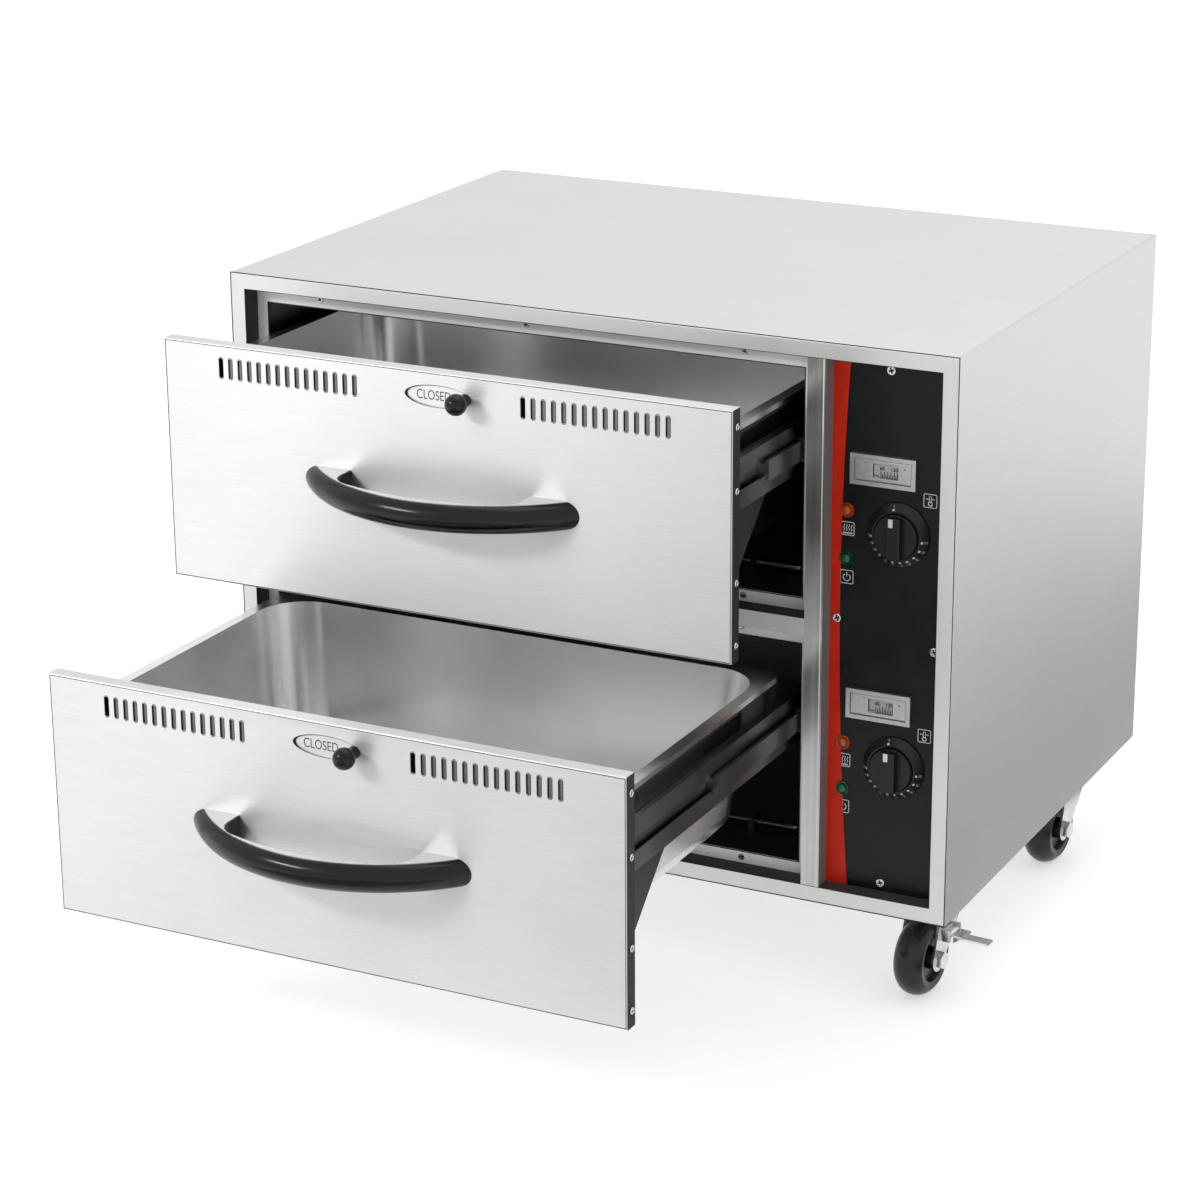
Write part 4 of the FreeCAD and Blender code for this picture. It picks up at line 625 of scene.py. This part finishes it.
def on_front(x, y, z, turn=0.0):
    """Places a form on a face that looks to the front, turned counter-clockwise in degrees."""
    return (Matrix.Scale(MM, 4) @ Matrix.Translation((x, y, z)) @ Matrix.Rotation(math.pi / 2, 4, "X")
            @ Matrix.Rotation(math.radians(turn), 4, "Z"))


def on_back(x, y, z):
    return (Matrix.Scale(MM, 4) @ Matrix.Translation((x, y, z)) @ Matrix.Rotation(math.pi, 4, "Z")
            @ Matrix.Rotation(math.pi / 2, 4, "X"))


def assemble(name, parts, finish, body, nodes=()):
    """One piece from placed meshes; it rides a body and may stand for CAD nodes."""
    whole = bmesh.new()
    for mesh, place in parts:
        known = len(whole.verts)
        whole.from_mesh(mesh)
        bmesh.ops.transform(whole, matrix=place, verts=list(whole.verts)[known:])
    mesh = bpy.data.meshes.new(name)
    whole.to_mesh(mesh)
    whole.free()
    mesh.materials.clear()
    mesh.materials.append(finish)
    mesh.shade_smooth()
    mesh.set_sharp_from_angle(angle=SHARP)
    made = bpy.data.objects.new(name, mesh)
    SCENE.collection.objects.link(made)
    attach(made, body)
    if nodes:
        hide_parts(*nodes)


# Thickness of inks and films, and the least gap that keeps two faces from lying in one plane
INK, HAIR = 0.06, 0.02
# Corner radius of a small or narrow form that lies in a film
FILM_CORNER = 0.3
FASCIA = corners("control_fascia")[0].y
DIAL = {level: middle_of(f"{level}_knob") for level in LEVELS}

# Scale of the thermostat on the skirt's cone: a dot for off at the top, and one for every ten degrees
# from 20 up, which lie closer together towards the hot end.  Turns are in degrees, counter-clockwise
# from the right.
SKIRT_LOW, SKIRT_HIGH = corners("dial_rings")
SKIRT_RADIUS = (SKIRT_HIGH.x - SKIRT_LOW.x) / 2
SKIRT_RISE = FASCIA - SKIRT_LOW.y
SKIRT_TOP, SKIRT_EDGE = 23.5, 1.5
SKIRT_SLOPE = math.atan((SKIRT_RISE - SKIRT_EDGE) / (SKIRT_RADIUS - SKIRT_TOP))
FIRST_DEGREES, DEGREES_APART = 20, 10
OFF_TURN = 98
DOT_TURNS = (-6.5, -26.8, -46.4, -64.5, -81.6, -98.2, -114, -129.6, -143.8, -158.2, -174)
DOT_RADIUS, DOT_CIRCLE = 1.2, 24.7
DIGIT_TALL, DIGIT_BOLDER, DIGIT_CIRCLE, OFF_CIRCLE = 2.4, 0.12, 27.7, 27.5
POINTER_WIDE, POINTER_TALL, POINTER_LEFT, POINTER_UP = 4.3, 7.8, 1.8, 15.0


def on_skirt(centre, turn, radius, own_turn=0.0):
    """Places a form on the cone round a knob, at an angle and a radius."""
    height = SKIRT_EDGE + (SKIRT_RADIUS - radius) * math.tan(SKIRT_SLOPE)
    return (on_front(centre.x, FASCIA, centre.z, turn) @ Matrix.Translation((radius, 0, height))
            @ Matrix.Rotation(SKIRT_SLOPE, 4, "Y") @ Matrix.Rotation(math.radians(own_turn), 4, "Z"))


dot = plate([circle(0, 0, DOT_RADIUS, steps=12)], INK)
pointer = plate([rounded(0, 0, POINTER_WIDE, POINTER_TALL, FILM_CORNER)], INK)
for level in LEVELS:
    centre = DIAL[level]
    dots = [(dot, on_skirt(centre, turn, DOT_CIRCLE)) for turn in (OFF_TURN,) + DOT_TURNS]
    off = letters("0", DIGIT_TALL, INK, bolder=DIGIT_BOLDER)
    digits = [(off, on_skirt(centre, OFF_TURN, OFF_CIRCLE, own_turn=-90))]
    for place, turn in enumerate(DOT_TURNS):
        degrees = FIRST_DEGREES + place * DEGREES_APART
        number = letters(str(degrees), DIGIT_TALL, INK, bolder=DIGIT_BOLDER)
        upright = 0 if turn > -90 else 180
        digits.append((number, on_skirt(centre, turn, DIGIT_CIRCLE, upright)))
    assemble(f"{level}_dial_dots", dots, PRINT_WHITE, "cabinet")
    assemble(f"{level}_dial_digits", digits, INK_GREY, "cabinet")

    knob_face = corners(f"{level}_knob")[0].y
    pointer_at = on_front(centre.x - POINTER_LEFT, knob_face, centre.z + POINTER_UP)
    assemble(f"{level}_knob_pointer", [(pointer, pointer_at)], PRINT_WHITE, f"{level}_knob")

# Thermometers: a bevelled insert in the bezel, a window onto the scale, and its print with a painted
# shadow
BEZEL_LOW, BEZEL_HIGH = corners("thermometers")
SCALE_LOW, SCALE_HIGH = corners("thermometer_dials")
BEZEL_TALL, RIM, RECESS = 28.8, 4.0, 3.0
SCALE_WIDE, SCALE_TALL = SCALE_HIGH.x - SCALE_LOW.x, 13.4
GAUGE_X, CARD_X = (BEZEL_LOW.x + BEZEL_HIGH.x) / 2, (SCALE_LOW.x + SCALE_HIGH.x) / 2
GAUGE_Z = {"upper": BEZEL_HIGH.z - BEZEL_TALL / 2, "lower": BEZEL_LOW.z + BEZEL_TALL / 2}
FLOOR_Y = BEZEL_LOW.y + RECESS

INSERT_GAP, INSERT_THICK, INSERT_BEVEL, INSERT_CORNER = 0.7, 1.8, 0.45, 0.8
# The insert's opening is this much narrower and lower than the scale behind it
OPENING_NARROWER, OPENING_LOWER, OPENING_CORNER = 0.6, 0.4, 0.5
INSERT_WIDE = BEZEL_HIGH.x - BEZEL_LOW.x - 2 * (RIM + INSERT_GAP)
INSERT_TALL = BEZEL_TALL - 2 * (RIM + INSERT_GAP)
insert_edge = rounded(0, 0, INSERT_WIDE, INSERT_TALL, INSERT_CORNER)
opening = rounded(CARD_X - GAUGE_X, 0, SCALE_WIDE - OPENING_NARROWER, SCALE_TALL - OPENING_LOWER,
                  OPENING_CORNER)
insert = plate([insert_edge, opening], INSERT_THICK, INSERT_BEVEL)

# Ticks on a baseline, every other one long, with the needle at their left
TICKS, FIRST_TICK, TICK_STEP, TICK_WIDE = 11, -4.6, 1.6, 0.72
TICK_FOOT, LONG_TICK, SHORT_TICK = -6.0, -0.2, -2.6
SCALE_PRINT_AND_SHADOW = [
    band([(-11, -4.2), (-8.6, -4.5), (-6.0, -5.3)], 0.9),
    band([(-5.2, TICK_FOOT), (12.2, TICK_FOOT)], 0.5),
    # A dark L along the left and top of the scale: a painted shadow of the window's edge
    [(-12.0, -6.2), (-11.2, -6.2), (-11.2, 5.8), (-7.0, 6.0), (-7.0, 6.3), (-12.0, 6.3)],
]
for place in range(TICKS):
    x = FIRST_TICK + place * TICK_STEP
    SCALE_PRINT_AND_SHADOW.append(band([(x, TICK_FOOT), (x, SHORT_TICK if place % 2 else LONG_TICK)], TICK_WIDE))
NUMBER_X, NUMBER_Y, NUMBER_TALL, NUMBER_BOLDER = {"60": -3.4, "120": 8.2}, 2.4, 3.2, 0.12
DEGREE_X, DEGREE_Z, DEGREE_OUTER, DEGREE_INNER = 18.6, 4.2, 0.9, 0.45
for level in LEVELS:
    insert_at = on_front(GAUGE_X, FLOOR_Y - HAIR, GAUGE_Z[level])
    assemble(f"{level}_thermometer_insert", [(insert, insert_at)], FINISHES["bezel_silver"], "cabinet")
    print_at = on_front(CARD_X, SCALE_LOW.y, GAUGE_Z[level])
    marks = [(plate([outline], INK), print_at) for outline in SCALE_PRINT_AND_SHADOW]
    for number, x in NUMBER_X.items():
        digits = letters(number, NUMBER_TALL, INK, bolder=NUMBER_BOLDER)
        marks.append((digits, print_at @ Matrix.Translation((x, NUMBER_Y, 0))))
    degree = plate([circle(0, 0, radius, steps=16) for radius in (DEGREE_OUTER, DEGREE_INNER)], INK)
    insert_face = FLOOR_Y - HAIR - INSERT_THICK
    marks.append((degree, on_front(CARD_X + DEGREE_X, insert_face, GAUGE_Z[level] + DEGREE_Z)))
    assemble(f"{level}_thermometer_print_and_shadow", marks, BLACK_PRINT_AND_SHADE, "cabinet")

# Lamps: a dyed ring, a dark gap and a lit cap of ten flat facets, as (radius, height) from the fascia
RING_PROFILE = ((0, -20), (5.45, -20), (5.45, 0), (6.95, 0), (6.95, 0.8), (6.5, 1.45), (5.8, 1.45),
                (5.3, 1.1), (5.2, -0.8), (0, -0.8))
CAP_PROFILE = ((0, -0.9), (4.5, -0.9), (4.5, 1.2), (3.8, 2.9), (2.0, 4.0), (0, 4.45))
RING_STEPS, CAP_FACETS = 40, 10
for colour in ("amber", "green"):
    low, high = corners(f"{colour}_lamps")
    radius = (high.x - low.x) / 2
    spots = [on_front((low.x + high.x) / 2, FASCIA, lamp_z)
             for lamp_z in (low.z + radius, high.z - radius)]
    ring, cap = turned(RING_PROFILE, RING_STEPS), turned(CAP_PROFILE, CAP_FACETS)
    assemble(f"{colour}_lamp_rings", [(ring, spot) for spot in spots], FINISHES[f"lens_{colour}"],
             "cabinet", [f"{colour}_lamps"])
    assemble(f"{colour}_lamp_caps", [(cap, spot) for spot in spots], LIT_CAP[colour], "cabinet")

# Printed symbols: heat, mains power and temperature, each in a frame with round corners
ICON, ICON_BORDER, LINE = 13.0, 0.65, 0.75
ICON_FRAME = [rounded(0, 0, ICON, ICON, 1.6),
              rounded(0, 0, ICON - 2 * ICON_BORDER, ICON - 2 * ICON_BORDER, 1.0)]
WAVE_TOP, WAVE_STEP, WAVE_SWING, WAVE_WIDE = 4.0, 0.46, 0.5, 0.55
# Points along a wave, and the turn between them in radians
WAVE_POINTS, WAVE_TURN = 15, 0.75


def wave(x):
    """A rising wave of heat."""
    return band([(x + WAVE_SWING * math.sin(step * WAVE_TURN), WAVE_TOP - step * WAVE_STEP)
                 for step in range(WAVE_POINTS)], WAVE_WIDE)


ICON_SHAPES = {
    "heat": [[wave(x)] for x in (-3.6, -1.2, 1.2, 3.6)] + [[band([(-4.6, -4.2), (4.6, -4.2)], 1.1)]],
    "power": [[band(arc(0, -0.4, 3.4, 125, 415), LINE)], [band([(0, 4.4), (0, 0.2)], LINE)]],
    "warmth": [[circle(0, -2.8, 2.3, 20), circle(0, -2.8, 1.4, 20)],
               [band([(-1.0, -0.8), (-1.0, 4.2), (1.0, 4.2), (1.0, -0.8)], 0.6)],
               [band([(-4.2, 1.6), (-1.8, 1.6)], LINE)],
               [band([(1.8, 1.6), (4.2, 1.6)], LINE)]],
}
ICON_X = {"heat": 264.5, "power": 264.2, "warmth": 343.5}
ICON_BELOW_DIAL = {"heat": 0.9, "power": 46.8, "warmth": -35.5}
for level in LEVELS:
    for icon, shapes in ICON_SHAPES.items():
        spot = on_front(ICON_X[icon], FASCIA, DIAL[level].z - ICON_BELOW_DIAL[icon])
        parts = [(plate(shape, INK), spot) for shape in [ICON_FRAME] + shapes]
        assemble(f"{level}_{icon}_symbol", parts, PRINT_WHITE, "cabinet")


# Screws: a cross recess in a rounded head, over a black disc of painted shade deep in the recess
def cross(size, slot):
    """A cross recess; size is half its length and slot half its width."""
    return [(slot, slot), (slot, size), (-slot, size), (-slot, slot), (-size, slot), (-size, -slot),
            (-slot, -slot), (-slot, -size), (slot, -size), (slot, -slot), (size, -slot), (size, slot)]


CROSS_TURN = 20
# The fascia's screws have wider heads than their solids
FASCIA_HEAD = 1.25
# Shares of a head's radius, and of its height
CROSS_SIZE, CROSS_SLOT, RECESS_SHADE_SIZE = 0.58, 0.13, 0.62
HEAD_ROUNDING, RECESS_SHADE_HEIGHT = 0.42, 0.35
BAY_X = middle_of("upper_front").x
SCREW_BODIES = {"fascia_screws": "cabinet", "case_screws": "cabinet",
                "upper_drawer_screws": "upper_drawer", "lower_drawer_screws": "lower_drawer"}
for node, body in SCREW_BODIES.items():
    heads, recess_shades = [], []
    for low, high in separate_boxes(node):
        centre, width = (low + high) / 2, high - low
        if width.x < width.y:
            side = math.copysign(1, centre.x - BAY_X)
            seat = low.x if side > 0 else high.x
            spot = (Matrix.Scale(MM, 4) @ Matrix.Translation((seat, centre.y, centre.z))
                    @ Matrix.Rotation(side * math.pi / 2, 4, "Y"))
        elif node == "case_screws" and low.y > 0:
            spot = on_back(centre.x, low.y, centre.z)
        else:
            spot = on_front(centre.x, high.y, centre.z, CROSS_TURN)
        radius, rise = width.z / 2, min(width.x, width.y)
        if node == "fascia_screws":
            radius *= FASCIA_HEAD
        head = [circle(0, 0, radius), cross(radius * CROSS_SIZE, radius * CROSS_SLOT)]
        heads.append((plate(head, rise, rise * HEAD_ROUNDING), spot))
        # Painted shade: a black disc under the cross, for the dark depth of the recess
        floor = circle(0, 0, radius * RECESS_SHADE_SIZE, steps=20)
        recess_shades.append((plate([floor], rise * RECESS_SHADE_HEIGHT), spot))
    assemble(f"{node}_crossed_heads", heads, FINISHES["screw_steel"], body, [node])
    assemble(f"{node}_recess_shade", recess_shades, BLACK_PRINT_AND_SHADE, body)

# The top bar of each lip hangs a little lower than its other sides
LIP_WIDTH, LIP_DROP, LIP_EDGE = 13.2, 4.5, 0.2
LIPS = separate_boxes("lip_frames")
LIP_FACE, LIP_BACK = LIPS[0][0].y, LIPS[0][1].y
for low, high in LIPS:
    level = "upper" if low.z > middle_of("mid_rail").z else "lower"
    bar_x, bar_z = (low.x + high.x) / 2, high.z - LIP_WIDTH - LIP_DROP / 2
    bar_long = high.x - low.x - 2 * LIP_WIDTH
    bar = plate([rounded(bar_x, bar_z, bar_long, LIP_DROP, LIP_EDGE)], LIP_BACK - LIP_FACE, LIP_EDGE)
    assemble(f"{level}_lip_top_bar", [(bar, on_front(0, LIP_BACK, 0))], LIP_STEEL, "cabinet")

# Dark hairlines on the cabinet's front: joints, and painted shade along its bends
SEAM_WIDE, FINE_SEAM = 1.0, 0.6
WRAPPER_LOW, WRAPPER_HIGH = corners("outer_wrapper")
FLANGE = 16.0
FRONT_BEND_INSET, FRONT_BEND_WIDE = 1.2, 0.7


def line_round(left, right, bottom, top, face, width=SEAM_WIDE):
    """A thin strip just inside the edge of a rectangle on a face that looks to the front."""
    x, z = (left + right) / 2, (bottom + top) / 2
    wide, tall = right - left, top - bottom
    strip = [rounded(x, z, wide - 2 * margin, tall - 2 * margin, FILM_CORNER) for margin in (0, width)]
    return plate(strip, INK), on_front(0, face, 0)


def seam(low, high, inset, width=SEAM_WIDE):
    """A hairline at a distance inside the edge of a box's front."""
    return line_round(low.x + inset, high.x - inset, low.z + inset, high.z - inset, low.y, width)


# Painted shade along the wrapper's outer bend, the joint inside its flange, and a dark line at each lip's
# inner edge
dark_hairlines = [seam(WRAPPER_LOW, WRAPPER_HIGH, 0),
         seam(WRAPPER_LOW, WRAPPER_HIGH, FLANGE - FINE_SEAM, FINE_SEAM)]
for low, high in LIPS:
    edge = LIP_WIDTH - SEAM_WIDE
    dark_hairlines.append(line_round(low.x + edge, high.x - edge, low.z + edge, high.z - edge - LIP_DROP, low.y))
assemble("case_front_joints_and_bend_shade", dark_hairlines, DARK_JOINT_AND_EDGE_SHADE, "cabinet")
for level in LEVELS:
    # Painted shade: a dark line just inside the edge of each drawer front, along its bend
    bend_shade = seam(*corners(f"{level}_front"), FRONT_BEND_INSET, FRONT_BEND_WIDE)
    assemble(f"{level}_front_bend_shade", [bend_shade], DARK_JOINT_AND_EDGE_SHADE, f"{level}_drawer")

# A bright strip along the mullion's right-hand fold is a painted highlight
HIGHLIGHT_WIDE, HIGHLIGHT_INSET = 1.2, 1.5
low, high = corners("mullion")
opening_tall = WRAPPER_HIGH.z - WRAPPER_LOW.z - 2 * FLANGE
fold_highlight = plate([rounded(0, 0, HIGHLIGHT_WIDE, opening_tall, FILM_CORNER)], INK)
fold_highlight_at = on_front(high.x - HIGHLIGHT_INSET - HIGHLIGHT_WIDE / 2, low.y,
                       (WRAPPER_LOW.z + WRAPPER_HIGH.z) / 2)
assemble("mullion_fold_painted_highlight", [(fold_highlight, fold_highlight_at)], LIP_STEEL, "cabinet")

# The punch rounds the sheet round each slot and the oval window; a thin dark rim there is painted shade.
# The window's inner edge is set a little aside, since the sheet's thickness shows there in painted shade.
SLOT_DROP, SLOT_PITCH, SLOT_COUNT, SLOT_GROUP = 22.1, 10.15, 15, 157.0
SLOT_WIDE, SLOT_TALL, SLOT_RIM, SLOT_FLAT = 4.0, 20.0, 0.5, 0.05
WINDOW_LONG, WINDOW_TALL, WINDOW_ASIDE, WINDOW_RIM = 67.0, 20.0, 0.9, 0.7
WINDOW_LAP_LONG, WINDOW_LAP_TALL = 1.2, 0.2


def slot(x, margin):
    """The outline of a slot, or of the rim round it; its round ends keep a trace of a flat."""
    wide, tall = SLOT_WIDE + 2 * margin, SLOT_TALL + 2 * margin
    return rounded(x, 0, wide, tall, wide / 2 - SLOT_FLAT)


SLOT_PLACES = [side * SLOT_GROUP + (place - (SLOT_COUNT - 1) / 2) * SLOT_PITCH
               for side in (-1, 1) for place in range(SLOT_COUNT)]
SLOT_RIM_SHADES = [outline for x in SLOT_PLACES for outline in (slot(x, SLOT_RIM), slot(x, 0))]
WINDOW_RIM_SHADE = [oval(0, WINDOW_LONG + WINDOW_RIM, WINDOW_TALL + WINDOW_RIM),
               oval(WINDOW_ASIDE, WINDOW_LONG - WINDOW_LAP_LONG, WINDOW_TALL - WINDOW_LAP_TALL)]

# Words on the sliding damper strips: one word shows through the oval at each end of their travel.
# Each strip's words have their own distance from the middle of the oval.
STRIP_DEPTH, DAMPER_TRAVEL, WORD_TALL, WORD_STRETCH = 1.3, 55.8, 8.8, 0.76
WORD_PLACES = {"CLOSED": 0, "OPEN": DAMPER_TRAVEL}
WORD_SHIFT = {"upper": -4.6, "lower": -6.1}
SIGN_X, SIGN_LONG, SIGN_TALL, SIGN_THICK, SIGN_CORNER = 24.5, 117, 24, 0.12, 1
for level in LEVELS:
    low, high = corners(f"{level}_front")
    slot_line = on_front((low.x + high.x) / 2, low.y, high.z - SLOT_DROP)
    edges = [(plate(SLOT_RIM_SHADES, INK), slot_line), (plate(WINDOW_RIM_SHADE, INK), slot_line)]
    assemble(f"{level}_punched_edge_shade", edges, DARK_JOINT_AND_EDGE_SHADE, f"{level}_drawer")

    strip_at = slot_line @ Matrix.Translation((0, 0, -STRIP_DEPTH))
    sign = plate([rounded(SIGN_X, 0, SIGN_LONG, SIGN_TALL, SIGN_CORNER)], SIGN_THICK)
    words = [(letters(word, WORD_TALL, INK, WORD_STRETCH),
              strip_at @ Matrix.Translation((WORD_SHIFT[level] + place, 0, SIGN_THICK)))
             for word, place in WORD_PLACES.items()]
    assemble(f"{level}_damper_sign", [(sign, strip_at)], FINISHES["front_stainless"], f"{level}_damper")
    assemble(f"{level}_damper_words", words, PRINT_GREY, f"{level}_damper")


# ---------------------------------------------------------------------------------------------------
# Camera, studio and light
# ---------------------------------------------------------------------------------------------------
# Focal length, picture side and the point that the lens looks at, in pixels from the top left
FOCAL, FRAME_SIDE = 3368, 1200
AIM_X, AIM_Y = 666.7, 585.7
VIEW_AZIMUTH, VIEW_ELEVATION = math.radians(25.89), math.radians(18.50)
# Width of the sensor in millimetres
SENSOR = 36

camera_data = bpy.data.cameras.new("Camera")
camera_data.sensor_width = SENSOR
camera_data.lens = SENSOR * FOCAL / FRAME_SIDE
camera_data.shift_x = (FRAME_SIDE / 2 - AIM_X) / FRAME_SIDE
camera_data.shift_y = (AIM_Y - FRAME_SIDE / 2) / FRAME_SIDE
camera_data.clip_end = 100
camera = bpy.data.objects.new("Camera", camera_data)
camera.location = (1.3838, -2.7343, 1.3801)
camera.rotation_euler = (math.pi / 2 - VIEW_ELEVATION, 0, VIEW_AZIMUTH)
SCENE.collection.objects.link(camera)
SCENE.camera = camera


def studio_sheet(name, left, right, front, back, height, finish):
    """A level sheet of the studio, which isn't part of the cabinet."""
    mesh = bpy.data.meshes.new(name)
    around = [(left, front, height), (right, front, height), (right, back, height), (left, back, height)]
    mesh.from_pydata(around, [], [(0, 1, 2, 3)])
    mesh.materials.append(finish)
    sheet = bpy.data.objects.new(name, mesh)
    SCENE.collection.objects.link(sheet)
    sheet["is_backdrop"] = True
    return sheet


def background_rays(tree):
    """1 for rays that look at the background directly, in a mirror or through glass."""
    ray = add_node(tree, "LightPath")
    seen = add_node(tree, "Math", {"operation": "ADD"},
                    {0: ray.outputs["Is Camera Ray"], 1: ray.outputs["Is Glossy Ray"]})
    return add_node(tree, "Math", {"operation": "ADD", "use_clamp": True},
                    {0: seen, 1: ray.outputs["Is Transmission Ray"]})


# The floor shines this much towards the camera, so that it is as white as the background
FLOOR_LIFT = 0.5
FLOOR_DUST_MM = 400


def white_floor():
    """Matt white paint on the studio floor: it keeps the cabinet's shadow, and fades into the white."""
    material, tree, places = new_finish("White_studio_floor")
    dust = add_node(tree, "TexNoise", inputs={
        "Vector": places.outputs["Object"], "Scale": METRE / FLOOR_DUST_MM, "Detail": 3.0})
    colour = add_node(tree, "ValToRGB", inputs={"Fac": dust}, stops=zip(WIDE, ("#FAFAFA", "#FCFCFC")))
    paint = add_node(tree, "BsdfPrincipled", inputs={
        "Base Color": colour,
        "Roughness": 0.9,
        "Specular IOR Level": 0.1,
    })
    lift = add_node(tree, "Math", {"operation": "MULTIPLY"}, {0: background_rays(tree), 1: FLOOR_LIFT})
    glow = add_node(tree, "Emission", inputs={"Color": (1, 1, 1, 1), "Strength": lift})
    both = add_node(tree, "AddShader", inputs={0: paint, 1: glow})
    add_node(tree, "OutputMaterial", inputs={"Surface": both})
    return material


# Half of the floor's side
REACH = 30
studio_sheet("Studio_floor", -REACH, REACH, -REACH, REACH, 0, white_floor())

# The world lights the cabinet less than it shows behind it, where a strength of 1 is white
WORLD_LIGHT, WORLD_SHOWN = 0.62, 1.0
world = bpy.data.worlds.new("Studio")
world.use_nodes = True
SCENE.world = world
world.node_tree.nodes.clear()
strength = add_node(world.node_tree, "MapRange", inputs={
    "Value": background_rays(world.node_tree), "To Min": WORLD_LIGHT, "To Max": WORLD_SHOWN})
sky = add_node(world.node_tree, "Background", inputs={"Color": (1, 1, 1, 1), "Strength": strength})
add_node(world.node_tree, "OutputWorld", inputs={"Surface": sky})

# The lamps face this point
CENTRE = Vector((0.0, 0.0, 0.35))


def softbox(name, place, width, height, watts):
    """A rectangular studio lamp."""
    data = bpy.data.lights.new(name, "AREA")
    data.shape = "RECTANGLE"
    data.size, data.size_y = width, height
    data.energy = watts
    lamp = bpy.data.objects.new(name, data)
    lamp.location = place
    lamp.rotation_euler = (CENTRE - Vector(place)).to_track_quat("-Z", "Y").to_euler()
    SCENE.collection.objects.link(lamp)


# A wide soft lamp and a narrow bright one from the left, which gives the grips their glint, and one above
softbox("Key_softbox", (-1.6, -2.4, 1.9), width=2.2, height=1.8, watts=3)
softbox("Glint_softbox", (-1.7, -2.4, 1.9), width=1.0, height=0.3, watts=21)
softbox("Top_softbox", (0.2, 0.3, 2.6), width=2.0, height=1.6, watts=9)

CARD_HEIGHT, PAPER_CLOUD_MM = 0.003, 300


def floor_card(name, left, right, front, back, grey):
    """Grey paper on the floor, there only for the metal to mirror.

    Its tone is even, but it comes through a link.  Set on the socket itself, the darker paper would no
    longer count as a lamp, and the shadow on the floor would come out a little darker.
    """
    material, tree, places = new_finish(name)
    paper = add_node(tree, "TexNoise", inputs={
        "Vector": places.outputs["Object"], "Scale": METRE / PAPER_CLOUD_MM, "Detail": 3.0})
    tone = add_node(tree, "ValToRGB", inputs={"Fac": paper}, stops=zip(WIDE, (grey, grey)))
    glow = add_node(tree, "Emission", inputs={"Color": tone})
    add_node(tree, "OutputMaterial", inputs={"Surface": glow})
    card = studio_sheet(name, left, right, front, back, CARD_HEIGHT, material)
    card.visible_camera = False
    card.visible_diffuse = False
    card.visible_transmission = False
    card.visible_shadow = False


floor_card("Side_card", left=0.42, right=1.0, front=-0.4, back=1.5, grey="#A2A2A2")
floor_card("Front_card", left=-0.5, right=0.5, front=-2.2, back=-0.65, grey="#D2D2D2")

SCENE.view_settings.view_transform = "Standard"

low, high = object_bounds()
